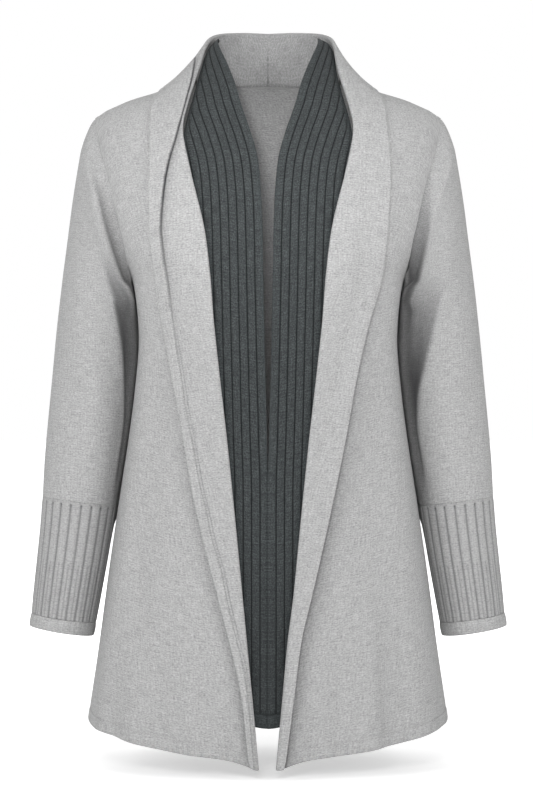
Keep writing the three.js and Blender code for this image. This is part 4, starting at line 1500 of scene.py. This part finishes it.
@dataclass(frozen=True)
class ShawlCollar:
    """Half of the shawl collar, with the turned-back front edge below it down to the hem.

    Its rows go up the front from the hem to the corner of the V, then by the sections of COLLAR to
    the middle of the back. Its columns go in from the free edge: leg_count of them on the outer leg,
    then round the roll, and stand_count of them down to the seam.

    lift is how far the free edge stands off, from 0 to 1 up to the corner and 1 to 2 beyond, and
    lift_reach how far in from the edge. lean brings the fold in beside the neck. layer is the cloth
    between the two legs. inside_shade is how dark the inside of the stand is painted, as painted
    shade, and easing how many times the bend round the back of the shoulder is smoothed.
    """

    side: Side
    folds: tuple[Fold, ...]
    lift: Track
    lean: float = 0.0
    overlap: Overlap | None = None
    wall: float = 1.7
    cad_wall: float = 2.0
    layer: float = 1.3
    leg_count: int = 64
    stand_count: int = 12
    lift_reach: float = 24.0
    inside_shade: float = 0.25
    easing: int = 80
    sections: float = 7.0

    @property
    def roll(self) -> float:
        """Radius of the roll at the fold."""
        return (self.cad_wall + self.layer) / 2

    @property
    def over(self) -> float:
        """Height of the turned-back leg's middle over the body."""
        return self.layer + self.cad_wall / 2

    def legs(self) -> Array:
        """Shares of the turned-back leg, from its free edge to the roll."""
        return stops(self.leg_count, 45.0, (True, False), self.wall / 2)[None, :]

    def rolled(self, centre: Array, out: Array, beyond: Array) -> Array:
        """Points half way round from the outer leg to the under leg."""
        angle = np.linspace(0.0, np.pi, 10)[1:-1][None, :, None]
        return centre + self.roll * (out * np.cos(angle) + beyond * np.sin(angle))

    def lower_rows(self, level: Array) -> Array:
        """Rows of the turned-back edge below the corner of the V.

        Args:
            level: Level of each row, as one column.

        Returns:
            The points, in millimetres.
        """
        side = self.side.value
        z = FORM.edge_z(level)
        roll_x = EDGE.fold(z) + self.roll
        edge = getattr(EDGE, self.side.label)(z)
        leg = FORM.over_body(side * mix(edge, roll_x, self.legs()), level, np.array(self.over))

        def at(x: Array, over: float) -> Array:
            """Points over the body at each level."""
            return FORM.over_body(side * x, level, np.array(over))

        centre = at(roll_x, (self.over - self.cad_wall / 2) / 2)
        out = unit(at(roll_x, self.over) - at(roll_x, -self.cad_wall / 2))
        beyond = unit(at(roll_x, 0.0) - at(roll_x + 1, 0.0))
        under = np.linspace(0.0, 1.0, self.stand_count)[None, :]
        tuck = at(mix(roll_x, front_inner_x(level) - 0.9, under), -self.cad_wall / 2)
        return np.concatenate([leg, self.rolled(centre, out, beyond), tuck], axis=1)

    def neck_seam(self, way: Array) -> Array:
        """Middle of the collar's lower edge, just clear of the neck seam.

        Args:
            way: Ways up the front and down the back, as over_body has.

        Returns:
            The points, in millimetres.
        """
        side = self.side.value
        under = np.array(-self.cad_wall / 2)
        front_way = np.minimum(way, 2.0)
        x = front_inner_x(front_way)
        front = FORM.over_body(side * x, front_way, under)
        aside = unit(front - FORM.over_body(side * (x + 1), front_way, under))
        clear = mix(1.4, 2.8, smooth(1.8, 1.95, way))
        front = front + aside * clear[..., None]
        back_way = np.maximum(way, 2.0)
        share = side * FORM.neck_share * np.cos((back_way - 2) * np.pi / 2)
        top = FORM.back_top(share)
        back, below = (
            FORM.point(share * FORM.reach_at(level), level, np.array(False)) for level in (top, top - 0.02)
        )
        # Behind the shoulder the seam steps in, then drops inside the back's edge.
        dropped = smooth(2.1, 2.5, back_way)
        step = 3.0 * (1 - smooth(2.0, 2.5, back_way))
        up = unit(back - below) * mix(0.9, -2.2, dropped)[..., None]
        back = back + up + vec(-side * step, mix(under, -2.3, dropped), 0.0)
        return np.where((way <= 2)[..., None], front, back)

    def fold_point(self, at: Array) -> Array:
        """Top of the roll at a section of the collar."""
        x = COLLAR.fold_x(at) + self.lean * bell(at - 4.6, 2.2)
        return vec(self.side.value * x, COLLAR.fold_y(at), COLLAR.fold_z(at))

    def upper_rows(self, at: Array) -> Array:
        """Rows of the collar proper.

        Args:
            at: Section of its table that each row is at, as one column.

        Returns:
            The points, in millimetres.
        """
        side = self.side.value
        fold = self.fold_point(at)
        seam = self.neck_seam(COLLAR.seam_way(at))

        def base(share: Array) -> Array:
            """Points on the body under the collar's fall.

            Args:
                share: Shares of the fall, from its edge to the fold.

            Returns:
                The points, in millimetres.
            """
            x = side * mix(COLLAR.edge_x(at), COLLAR.fold_x(at), share)
            way = mix(COLLAR.edge_way(at), COLLAR.base_way(at), share)
            return FORM.over_body(x, way, np.array(self.over))

        ahead = self.fold_point(np.minimum(at + 0.1, self.sections))
        along = unit(ahead - self.fold_point(np.maximum(at - 0.1, 0.0)))
        down = unit(unit(base(np.array(0.75)) - fold) + unit(seam - fold))
        out = unit(np.cross(down, along) * side)
        centre = fold + down * (self.roll + self.cad_wall / 2)
        lift = centre + out * self.roll - base(np.array(1.0))
        shares = self.legs()
        leg = base(shares) + lift * power(shares, 1.5)[..., None]
        under = centre - out * self.roll
        stand = mix(under, seam, np.linspace(0.0, 1.0, self.stand_count)[None, :, None])
        return np.concatenate([leg, self.rolled(centre, out, -down), stand], axis=1)

    def eased(self, rows: Array, at: Array) -> None:
        """Smooth the bend round the back of the shoulder in place, so that it doesn't pucker.

        Args:
            rows: Grid of points.
            at: The section of COLLAR that each row is at.
        """
        column = np.arange(1, rows.shape[1] - 1)[None, :, None]
        ease = bell(at[1:-1, None, None] - 5.4, 2.0) * smooth(4.0, 26.0, column)
        ease = ease * smooth(self.leg_count + 2.0, self.leg_count - 10.0, column)
        for _ in range(self.easing):
            near = rows[:-2, 1:-1] + rows[2:, 1:-1] + rows[1:-1, :-2] + rows[1:-1, 2:]
            rows[1:-1, 1:-1] = mix(rows[1:-1, 1:-1], near / 4, ease)

    def cloth(self) -> tuple[Cloth, Array]:
        """The collar's cloth, with its folds and its lifted edge, and its painted darkness: shade in the
        creases and inside the stand, and a line down the middle seam.
        """
        low = stops(150, 700.0, (True, False), self.wall / 2)[:-1] * (CORNER_LEVEL - 0.02)
        high = self.sections * stops(84, 300.0, (False, True), self.wall / 2)
        rows = np.concatenate([self.lower_rows(low[:, None]), self.upper_rows(high[:, None])])
        join = len(low)
        smooth_rows(rows, join - 8, join + 8, 30)
        self.eased(rows, np.concatenate([np.full(join, -FAR), high]))
        rows[-1, :, 0] = self.side.value * SEAM_GAP
        cloth = Cloth(rows, -self.side.value)
        normals = cloth.normals()
        normals[-1, :, 0] = 0.0
        cloth.points = rows + unit(normals) * self.wall / 2
        along = np.concatenate([low / low[-1], 1 + high / self.sections])[:, None]
        across = cloth.lengths()[0]
        lifted = self.lift(along) * (1 - smooth(0.0, self.lift_reach, across))
        cloth = cloth.pushed(lifted).folded(self.folds)
        row = np.arange(len(rows))[:, None] - join
        column = np.arange(rows.shape[1])[None, :] - self.leg_count
        dark = np.zeros(rows.shape[:2])
        if self.overlap is not None:
            push, dark = self.overlap.relief(cloth.points, 1 - smooth(3.0, 7.0, column))
            cloth = cloth.pushed(push)
        # Painted shade inside the stand, and a dark line down the middle seam where the halves meet.
        inside = self.inside_shade * smooth(3.0, 12.0, column) * smooth(0.0, 20.0, row)
        up = cloth.lengths()[1].mean(axis=1, keepdims=True)
        middle = 0.6 * hump(up[-1] - up, 1.0) * smooth(3.0, 8.0, column)
        seam = (1 - smooth(0.0, 5.0, across[:, -1:] - across)) * smooth(30.0, 50.0, row)
        cloth = cloth.pushed(-1.1 * seam).rounded(self.wall, np.minimum(from_ends(up), across[join // 2]))
        cloth.thin = np.clip(cloth.thin - 0.6 * seam, THINNEST, 1.0)
        return cloth, np.maximum(dark, np.maximum(inside, middle))

    def stand_lines(self, cloth: Cloth) -> list[tuple[Array, Array]]:
        """Stitch lines inside the collar: one under its top, and one over the back neck seam.

        Args:
            cloth: The collar's cloth.

        Returns:
            Points and cloth normals of each line.
        """
        lines = []
        seam, start = cloth.points[:, -1], self.leg_count + 8
        for reach, begin, drop in ((30.0, start, 6.0), (44.0, -1, -3.5)):
            rows = (np.abs(seam[:, 0]) < reach) & (seam[:, 2] > -60.0)
            part = Cloth(cloth.points[rows], cloth.turn)
            across = part.lengths()[0]
            off = across - across[:, begin][:, None] - drop
            off[:, :start] = -FAR
            lines.append(part.traced(off, 0.0, by_row=True))
        return lines

    def build(self, finishes: Finishes) -> bpy.types.Object:
        """Make the half collar.

        Args:
            finishes: The garment's finishes.

        Returns:
            The object.
        """
        name = f"collar_band_{self.side.label}"
        cloth, dark = self.cloth()
        if self.overlap is not None:
            off = np.abs(cloth.points[..., 0]) - self.overlap.line(cloth.points[..., 2])
            off[:, self.leg_count:] = -FAR
            rows = cloth.points[:, 0, 2] < self.overlap.twin_from
            part = Cloth(cloth.points[rows], cloth.turn)
            lines = [part.traced(off[rows], level, by_row=True) for level in (0.0, -self.overlap.twin)]
            Stitching(f"{name}_twin_stitches").build(finishes, lines)
        Stitching(f"{name}_stand_stitches").build(finishes, self.stand_lines(cloth))
        return sew(cloth, Sewing(name, self.wall, finishes.marl, held="folded"), {"groove": dark})


# ---- inner rib panels ---------------------------------------------------------------------------
LAP = 14.0  # how far in from their free edges one side lies over the other


@dataclass(frozen=True)
class InnerRibPanel:
    """A dark inner front of raised ribs, whose free edge makes one side of the V.

    groove is the half width of the groove between two ribs, hem the height of its lower edge, over
    its height over the body, and top how far up the front its lower rows go.
    """

    side: Side
    pitch: float = 9.4
    ribs: int = 10
    rib_height: float = 1.25
    groove: float = 0.62
    hem: float = -697.0
    top: float = 1.55
    over: float = -5.5
    wall: float = 1.4

    def lower_rows(self, level: Array, s: Array) -> Array:
        """Rows under the front.

        Args:
            level: Level of each row, as one column.
            s: Distances from the free edge, as one row.

        Returns:
            The points, in millimetres.
        """
        z = FORM.edge_z(level)
        lapped = (1 - smooth(0.0, LAP, s)) * (1 - smooth(-420.0, -340.0, z))
        over = self.over + self.side.value * lapped
        return FORM.over_body(self.side.value * (INNER.edge(z) + s), level, over)

    def neck_rows(self, at: Array, s: Array, collar: ShawlCollar) -> Array:
        """Rows beside the neck, from the free edge to the collar's roll.

        Args:
            at: Section of INNER_NECK that each row is at, as one column.
            s: Distances from the free edge, as one row.
            collar: The collar on the same side.

        Returns:
            The points, in millimetres.
        """
        side = self.side.value
        edge = vec(side * INNER_NECK.edge_x(at), INNER_NECK.edge_y(at), INNER_NECK.edge_z(at))
        high = smooth(3.4, 4.7, at)
        target = collar.fold_point(at) + vec(-side * mix(2.5, 3.9, high), mix(4.0, -1.5, high), -8.0)
        span = target - edge
        width = np.linalg.norm(span, axis=-1)
        room = (s.max() - s) * 0.035
        share = np.minimum(s, width - room) / width
        bow = INNER_NECK.bulge(at) * 4 * share * (1 - share)
        zero = np.zeros(share.shape)
        return edge + span * share[..., None] + vec(zero, -bow, zero)

    def build(self, finishes: Finishes, collar: ShawlCollar) -> bpy.types.Object:
        """Make the panel, tucked under the roll of the collar on its side.

        Args:
            finishes: The garment's finishes.
            collar: The collar on the same side.

        Returns:
            The object.
        """
        # The columns stand close together in each groove; the last groove ends the panel.
        marks = np.array([-2.9, -1.5, -0.9, -0.45, 0.0, 0.45, 0.9, 1.5, 2.9, 4.7])
        grooves = np.arange(1, self.ribs + 1)[:, None] * self.pitch
        s = np.concatenate([[0.0, 0.1, 0.35, 0.8, 2.4, 4.5], (grooves + marks).ravel()[:-6]])[None, :]
        even = stops(128, 620.0, (False, False), self.wall / 2)[:, None]
        lower = self.lower_rows(mix(FORM.level_at(self.hem, 0.0), self.top, even), s)
        upper = self.neck_rows(np.linspace(0.0, 4.9, 44)[:, None], s, collar)
        between = np.linspace(0.0, 1.0, 12)[1:-1][:, None, None]
        rows = np.concatenate([lower, mix(lower[-1:], upper[:1], between), upper])
        smooth_rows(rows, len(lower) - 9, len(lower) + 21, 25)
        cloth = Cloth(rows, self.side.value)
        nearest = np.maximum(np.round(s / self.pitch), 1) * self.pitch
        deep = hump(s - nearest, self.groove)
        crown = 0.25 * np.cos(2 * np.pi * (s / self.pitch - 0.5))
        relief = (self.rib_height + crown) * (1 - deep) * smooth(1.5, 5.0, row_height(cloth))
        cloth = cloth.pushed(relief).rounded(self.wall, s)
        name = f"inner_rib_panel_{self.side.label}"
        sewing = Sewing(name, self.wall, finishes.charcoal, "charcoal_rib_knit")
        # Painted shade: dark in the grooves between the ribs, and darker toward the hem, where the fronts
        # shade the panel.
        shade = 0.22 * smooth(-470.0, -640.0, cloth.points[..., 2])
        return sew(cloth, sewing, {"groove": np.maximum(0.95 * deep, shade)})


@dataclass(frozen=True)
class InnerHemBand:
    """The plain band that ends a rib panel."""

    side: Side
    top: float = -694.0
    tall: float = 15.0
    width: float = 94.0
    over: float = -5.3
    wall: float = 1.6

    def build(self, finishes: Finishes) -> bpy.types.Object:
        """Make the band.

        Args:
            finishes: The garment's finishes.

        Returns:
            The object.
        """
        side = self.side.value
        low, high = (FORM.level_at(self.top - drop, 0.0) for drop in (self.tall, 0.1))
        share = stops(9, self.tall, (True, False), self.wall / 2)[:, None]
        s = self.width * stops(60, self.width, (True, False), self.wall / 2)[None, :]
        over = self.over + side * (1 - smooth(0.0, LAP, s))
        points = FORM.over_body(side * (INNER.edge(self.top) + s), mix(low, high, share), over)
        cloth = Cloth(points, side).pushed(0.6 * np.sin(np.pi * share))
        cloth = cloth.rounded(self.wall, np.minimum(row_height(cloth), s))
        name = f"inner_hem_band_{self.side.label}"
        return sew(cloth, Sewing(name, self.wall, finishes.charcoal_plain, "charcoal_rib_knit"))


# ---- stitching ----------------------------------------------------------------------------------
@dataclass(frozen=True)
class Stitching:
    """Rows of short straight stitches of thread, half sunk in the cloth."""

    name: str
    pitch: float = 3.3
    length: float = 2.3
    thick: float = 0.5

    def build(self, finishes: Finishes, lines: list[tuple[Array, Array]]) -> bpy.types.Object:
        """Make the stitches.

        Args:
            finishes: The garment's finishes.
            lines: Points and cloth normals of each row, in millimetres.

        Returns:
            The object.
        """
        bm = bmesh.new()
        bm.loops.layers.uv.verify()
        count = 0
        for points, normals in lines:
            steps = np.linalg.norm(np.diff(points, axis=0), axis=1)
            run = np.concatenate([[0.0], np.cumsum(steps)])
            for at in np.arange(self.pitch, run[-1] - self.pitch / 2, self.pitch):
                a, b, n = (
                    Vector([float(np.interp(place, run, values[:, k])) for k in range(3)])
                    for place, values in ((at - 1, points), (at + 1, points), (at, normals))
                )
                way, out = (b - a).normalized(), n.normalized()
                aside = out.cross(way).normalized()
                turn = Matrix((way, aside, way.cross(aside))).transposed().to_4x4()
                size = Matrix.Diagonal((self.length / 2, self.thick / 2, self.thick / 2, 1.0))
                place = Matrix.Translation(((a + b) / 2 + out * 0.1) * MM)
                bmesh.ops.create_icosphere(
                    bm,
                    subdivisions=1,
                    radius=MM,
                    matrix=place @ turn @ size,
                    calc_uvs=True,
                )
                count += 1
        made = finish_mesh(self.name, bm, finishes.thread)
        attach(made, "root")
        LOG.info("%s: %d stitches", self.name, count)
        return made


# ---- studio -------------------------------------------------------------------------------------
WHITE = (1.0, 1.0, 1.0, 1.0)
LAMPS = (
    ("left lamp", "AREA", (-1.9, -1.7, 0.6), 20.5, 1.0),
    ("right lamp", "AREA", (1.9, -1.7, 0.6), 19.5, 1.0),
    ("front lamp", "AREA", (-0.2, -2.3, 0.35), 17.5, 0.5),
    ("back lamp", "AREA", (-0.9, 2.6, 0.5), 20.0, 1.2),
    ("neck lamp", "SPOT", (-0.05, -2.5, -0.4), 105.0, 0.15),
)


@dataclass(frozen=True)
class Studio:
    """Camera, soft lights and a plain pale floor.

    distance, height and aside place the camera. floor_glow is how bright the floor is to the camera
    near the garment and far from it, and fill how bright the room is to the garment from below and
    from above. The aims are the heights on the garment that the lamps face; the spot's angle is in
    degrees.
    """

    distance: float = 2.55
    height: float = -0.3565
    aside: float = -0.0017
    lens: float = 99.77
    floor_z: float = -0.774
    lamp_aim: float = -0.3
    spot_aim: float = -0.08
    spot_angle: float = 9.5
    floor_glow: Span = (0.52, 0.9)
    fill: Span = (0.3, 0.6)

    def camera(self) -> None:
        """Make the camera, level with the middle of the garment."""
        data = bpy.data.cameras.new("camera")
        data.lens = self.lens
        data.clip_start = 0.05
        data.clip_end = 60.0
        made = bpy.data.objects.new("camera", data)
        made.location = (self.aside, -self.distance, self.height)
        made.rotation_euler = (math.pi / 2, 0.0, 0.0)
        bpy.context.scene.collection.objects.link(made)
        bpy.context.scene.camera = made

    def lamp(
        self, name: str, kind: str, place: tuple[float, float, float], watts: float, soft: float
    ) -> None:
        """Make a soft lamp that faces the middle of the garment.

        Args:
            name: Its name.
            kind: AREA for a square one, or SPOT for a narrow one on the neck's opening.
            place: Where it stands, in metres.
            watts: Its strength.
            soft: Side of a square lamp, or radius of a spot.
        """
        data = bpy.data.lights.new(name, kind)
        data.energy = watts
        if kind == "SPOT":
            data.shadow_soft_size = soft
            data.spot_size = math.radians(self.spot_angle)
            data.spot_blend = 1.0
        else:
            data.size = soft
        made = bpy.data.objects.new(name, data)
        made.location = place
        way = Vector((0.0, 0.0, self.spot_aim if kind == "SPOT" else self.lamp_aim)) - Vector(place)
        made.rotation_euler = way.to_track_quat("-Z", "Y").to_euler()
        bpy.context.scene.collection.objects.link(made)

    def floor(self) -> None:
        """Make the floor."""
        bm = bmesh.new()
        bmesh.ops.create_grid(bm, x_segments=1, y_segments=1, size=20.0)
        bmesh.ops.translate(bm, vec=(0.0, 0.0, self.floor_z), verts=bm.verts)
        paint = bpy.data.materials.new("matt white studio paper")
        paint.use_nodes = True
        tree = paint.node_tree
        shader = tree.nodes["Principled BSDF"]
        for name, value in (
            ("Base Color", (0.8, 0.8, 0.8, 1.0)),
            ("Roughness", 1.0),
            ("Specular IOR Level", 0.0),
            ("Emission Color", WHITE),
        ):
            shader.inputs[name].default_value = value
        seen = add_node(tree, "ShaderNodeLightPath").outputs["Is Camera Ray"]
        place = add_node(tree, "ShaderNodeTexCoord").outputs["Object"]
        away = add_node(tree, "ShaderNodeVectorMath", {0: place}, operation="LENGTH").outputs["Value"]
        shown = remap(tree, away, (1.0, 1.7), self.floor_glow)
        tree.links.new(remap(tree, seen, (0.0, 1.0), (0.1, shown)), shader.inputs["Emission Strength"])
        finish_mesh("floor", bm, paint)

    def build(self) -> None:
        """Make the whole studio."""
        scene = bpy.context.scene
        scene.view_settings.view_transform = "Standard"
        world = bpy.data.worlds.new("white room")
        world.use_nodes = True
        tree = world.node_tree
        room = tree.nodes["Background"]
        room.inputs[0].default_value = WHITE
        split = add_node(tree, "ShaderNodeSeparateXYZ", {0: add_node(tree, "ShaderNodeTexCoord").outputs[0]})
        seen = add_node(tree, "ShaderNodeLightPath").outputs["Is Camera Ray"]
        soft = remap(tree, split.outputs[2], (-0.4, 0.8), self.fill)
        tree.links.new(remap(tree, seen, (0.0, 1.0), (soft, 1.0)), room.inputs[1])
        scene.world = world
        self.camera()
        self.floor()
        for lamp in LAMPS:
            self.lamp(*lamp)


# ---- the garment --------------------------------------------------------------------------------
SLEEVE_DRAGS = {
    Side.RIGHT: (Drag(3.0, 330, 7.0, 250, 16, -1.5), Drag(5.0, 20, 9.0, 70, 14, -1.2)),
    Side.LEFT: (Drag(2.5, 335, 6.5, 260, 16, -1.5), Drag(5.5, 15, 9.5, 75, 14, -1.2)),
}
LIFT_KEYS = [0, 0.3, 0.6, 0.8, 1.0, 1.35, 1.52, 1.7, 2]
EDGE_LIFT = {
    Side.RIGHT: Track(LIFT_KEYS, [2.0, 2.0, 1.0, 0.2, 0.0, 0.0, -0.6, 0.0, 0.2]),
    Side.LEFT: Track(LIFT_KEYS, [4.0, 6.5, 5.0, 2.5, 1.0, 0.3, -0.5, 0.2, 0.3]),
}
OVERLAP = Overlap(
    line=Track(
        [31, 10, -13, -30, -49, -65, -87, -108, -135, -167, -181, -202, -222, -249, -268, -319, -364,
         -403, -435, -457, -481, -510, -540, -576, -601, -635, -655, -685, -764],
        [85.3, 87.6, 92.3, 95.8, 100.4, 104.2, 110.3, 114.4, 117.5, 119.4, 118.2, 115.8, 112.4, 109,
         106.8, 98, 91.3, 83.6, 78.1, 73.7, 67.7, 61.5, 52.7, 45, 39.5, 30.7, 26.2, 21.9, 15.0],
    ),
    step=Track(
        [40, -30, -70, -120, -200, -250, -300, -420, -764], [0, 0, 1.6, 2.6, 2.6, 1.8, 0.7, 0.4, 0.2]
    ),
    groove=Track([50, 35, 10, -60, -120, -180, -250, -300], [0.2, 0.8, 1.0, 1.0, 0.9, 0.7, 0.45, 0.1]),
    # How dark the painted shade along the line is, by height.
    shade=Track(
        [50, 35, 10, -60, -110, -160, -220, -270, -320],
        [0.2, 0.7, 0.85, 0.85, 0.9, 0.7, 0.5, 0.3, 0.05],
    ),
)
COLLAR_FOLDS: dict[Side, tuple[Fold, ...]] = {
    Side.RIGHT: laid(
        Face.FRONT,
        (((-84, 0), (-86, -60), (-80, -130)), 0.8, 5, 7),
        (((-124, 20), (-127, -30), (-128, -90)), -0.7, 6, 5),
    ),
    Side.LEFT: laid(
        Face.FRONT,
        (((102, 14), (105, -5), (108, -26)), -0.9, 3, 4),
        (((101, -48), (102, -62), (103, -80)), -1.1, 3, 4),
        (((96, -120), (90, -200), (78, -290)), 0.9, 9, 12),
    ),
}
FRONT_FOLDS: dict[Side, tuple[Fold, ...]] = {
    Side.RIGHT: laid(
        Face.FRONT,
        (((-150, -170), (-138, -240), (-131, -285), (-141, -402), (-162, -560), (-184, -735)),
         7.0, 16, 14, (0.15, 0.0)),
        (((-147, -500), (-152, -600), (-156, -740)), 5.0, 12, 13, (0.7, 0.0)),
        (((-112, -560), (-120, -650), (-124, -745)), -4.0, 15, 15, (0.7, 0.0)),
        (((-78, -600), (-84, -680), (-88, -750)), 3.0, 13, 13, (0.7, 0.0)),
        (((-150, -420), (-142, -520), (-144, -680), (-146, -735)), -0.5, 1.5, 1.5, (0.1, 0.0)),
        (((-112, -232), (-122, -262), (-126, -290)), -1.2, 8, 10),
    ),
    Side.LEFT: laid(
        Face.FRONT,
        (((150, -170), (138, -240), (131, -285), (141, -402), (162, -560), (184, -735)),
         7.0, 14, 16, (0.15, 0.0)),
        (((108, -500), (114, -620), (118, -745)), 5.0, 11, 13, (0.7, 0.0)),
        (((140, -560), (148, -650), (154, -740)), -4.2, 13, 15, (0.7, 0.0)),
        (((72, -600), (78, -680), (80, -750)), -3.0, 13, 13, (0.7, 0.0)),
        (((146, -378), (144, -500), (147, -640), (158, -735)), -0.55, 1.5, 1.5, (0.1, 0.0)),
        (((128, -230), (126, -268), (118, -300)), -1.4, 9, 8),
    ),
}
SLEEVE_FOLDS: dict[Side, tuple[Fold, ...]] = {
    Side.RIGHT: laid(
        Face.FRONT,
        (((-203, -85), (-192, -155), (-174, -208), (-157, -250), (-147, -282)), 4.0, 8, 7),
        (((-188, -105), (-177, -160), (-163, -210), (-152, -250)), -2.5, 8, 9),
        (((-222, -180), (-206, -260), (-196, -350), (-204, -430)), 2.6, 13, 13),
        (((-236, -330), (-216, -352), (-196, -360)), -1.8, 10, 10),
        (((-244, -400), (-224, -428), (-204, -440)), -1.6, 10, 10),
    ) + laid(
        Face.BACK,
        (((-198, -90), (-188, -170), (-166, -250)), -3.0, 12, 12),
        (((-226, -250), (-204, -310), (-176, -350)), 2.6, 13, 13),
        (((-240, -380), (-216, -410), (-188, -420)), -1.8, 12, 12),
    ),
    Side.LEFT: laid(
        Face.FRONT,
        (((212, -110), (202, -190), (192, -250)), 2.8, 13, 11),
        (((240, -330), (220, -360), (200, -372)), -1.8, 10, 10),
        (((246, -396), (226, -424), (206, -436)), -1.6, 10, 10),
    ) + laid(
        Face.BACK,
        (((198, -90), (186, -170), (166, -250)), -3.0, 12, 12),
        (((228, -240), (206, -300), (178, -350)), 2.4, 13, 13),
        (((242, -360), (216, -400), (188, -420)), -1.8, 12, 12),
    ),
}
# Sleeve hollows; near and far are how dark each is painted, as painted shade.
SLEEVE_HOLLOWS: dict[Side, tuple[Hollow, ...]] = {
    Side.RIGHT: (
        Hollow(
            inner=Track([-300, -269, -222, -191, -116, -80], [143, 144.6, 154.4, 159.2, 181.2, 190]),
            outer=Track([-290, -250, -208, -155, -100], [147, 157, 170, 186, 200]),
            depth=Track([-290, -250, -200, -130, -90], [0, 1.5, 3, 2.5, 0]),
            near=Track([-285, -260, -200, -140, -100], [0.5, 0.45, 0.15, 0.05, 0]),
            far=Track([-285, -240, -200, -155, -115, -95], [0.5, 0.45, 0.4, 0.35, 0.12, 0]),
        ),
        Hollow(
            inner=Track([-300, -278, -232, -193, -170], [145, 147, 164, 178, 184]),
            outer=Track(
                [-540, -468, -424, -379, -320, -288, -237, -195, -175],
                [184, 178, 171, 165, 165, 168, 177, 189, 194],
            ),
            depth=Track([-460, -430, -380, -300, -240, -190], [0, 4, 6, 6, 3.5, 0]),
            near=Track(
                [-600, -520, -468, -424, -378, -320, -288, -237, -205, -190],
                [0, 0.25, 0.55, 0.7, 0.72, 0.75, 0.72, 0.5, 0.2, 0],
            ),
            far=Track(
                [-600, -468, -424, -378, -320, -288, -237, -205, -190],
                [0, 0.1, 0.25, 0.4, 0.6, 0.66, 0.45, 0.15, 0],
            ),
        ),
    ),
    Side.LEFT: (
        Hollow(
            inner=Track(
                [-310, -271, -228, -181, -130, -101, -75], [143, 143, 147.3, 154.7, 166.8, 176.5, 184]
            ),
            outer=Track(
                [-340, -310, -262, -228, -181, -155, -130, -101, -80],
                [153, 156, 162, 170, 180, 183, 183, 186, 189],
            ),
            depth=Track([-340, -300, -240, -180, -130, -80], [0, 2, 4, 5, 3, 0]),
            near=Track(
                [-340, -310, -262, -228, -181, -155, -120, -90],
                [0.5, 0.85, 1.0, 0.98, 0.7, 0.55, 0.35, 0.1],
            ),
            far=Track(
                [-340, -310, -262, -228, -181, -155, -120, -90],
                [0.1, 0.35, 0.5, 0.55, 0.3, 0.2, 0.05, 0],
            ),
        ),
        Hollow(
            inner=Track([-300, -232, -181], [143, 150, 157]),
            outer=Track(
                [-540, -468, -424, -390, -356, -340, -303, -261, -232, -200],
                [193, 185, 177, 171, 171, 173, 181.5, 190.5, 197.8, 206],
            ),
            depth=Track([-460, -430, -380, -340, -290, -240, -210], [0, 4, 6, 6, 4.5, 2, 0]),
            near=Track(
                [-600, -520, -468, -424, -368, -330, -290, -250, -215],
                [0, 0.3, 0.55, 0.75, 0.85, 0.8, 0.5, 0.3, 0],
            ),
            far=Track(
                [-600, -468, -424, -390, -356, -330, -303, -261, -240, -215],
                [0, 0.1, 0.25, 0.5, 0.75, 0.75, 0.6, 0.45, 0.25, 0],
            ),
            soft=3.5,
        ),
    ),
}
# How dark the painted shadow of the turned-back edge is on each front, by height.
PAINTED_EDGE_SHADOW: dict[Side, Track] = {
    Side.RIGHT: Track([-300, -200], [0.1, 0.0]),
    Side.LEFT: Track([-760, -600, -290, -230, -185], [0.3, 0.32, 0.42, 0.3, 0.0]),
}
BACK_FOLDS = laid(
    Face.BACK,
    (((-110, -440), (-122, -600), (-130, -735)), 3.4, 15, 15, (0.7, 0.0)),
    (((-62, -480), (-68, -620), (-72, -735)), -3.0, 16, 16, (0.7, 0.0)),
    (((-8, -460), (-6, -600), (-4, -735)), 3.0, 17, 17, (0.7, 0.0)),
    (((56, -470), (62, -610), (66, -735)), -2.8, 16, 16, (0.7, 0.0)),
    (((104, -440), (118, -600), (126, -735)), 3.2, 15, 15, (0.7, 0.0)),
    (((-158, -215), (-120, -262), (-78, -284)), -1.8, 10, 12),
    (((156, -220), (118, -266), (74, -290)), -1.8, 12, 10),
    (((-140, -320), (-90, -352), (-30, -362)), -1.6, 10, 12),
    (((142, -326), (96, -350), (40, -356)), 1.6, 12, 10),
)


def main() -> None:
    """Build the garment piece by piece."""
    logging.basicConfig(level=logging.INFO, format="%(name)s: %(message)s")
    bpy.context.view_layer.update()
    Studio().build()
    finishes = Finishes()
    BackPanel(BACK_FOLDS).build(finishes)
    for side in Side:
        FrontPanel(side, FRONT_FOLDS[side], PAINTED_EDGE_SHADOW[side]).build(finishes)
        overlap = OVERLAP if side is Side.RIGHT else None
        lean = 0.0 if side is Side.RIGHT else 6.0
        collar = ShawlCollar(side, COLLAR_FOLDS[side], EDGE_LIFT[side], lean, overlap)
        collar.build(finishes)
        InnerRibPanel(side).build(finishes, collar)
        InnerHemBand(side).build(finishes)
        Sleeve(side, SLEEVE_DRAGS[side], SLEEVE_FOLDS[side], SLEEVE_HOLLOWS[side]).build(finishes)
        RibCuff(side).build(finishes)
        CuffBand(side).build(finishes)
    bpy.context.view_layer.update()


if __name__ == "__main__":
    main()
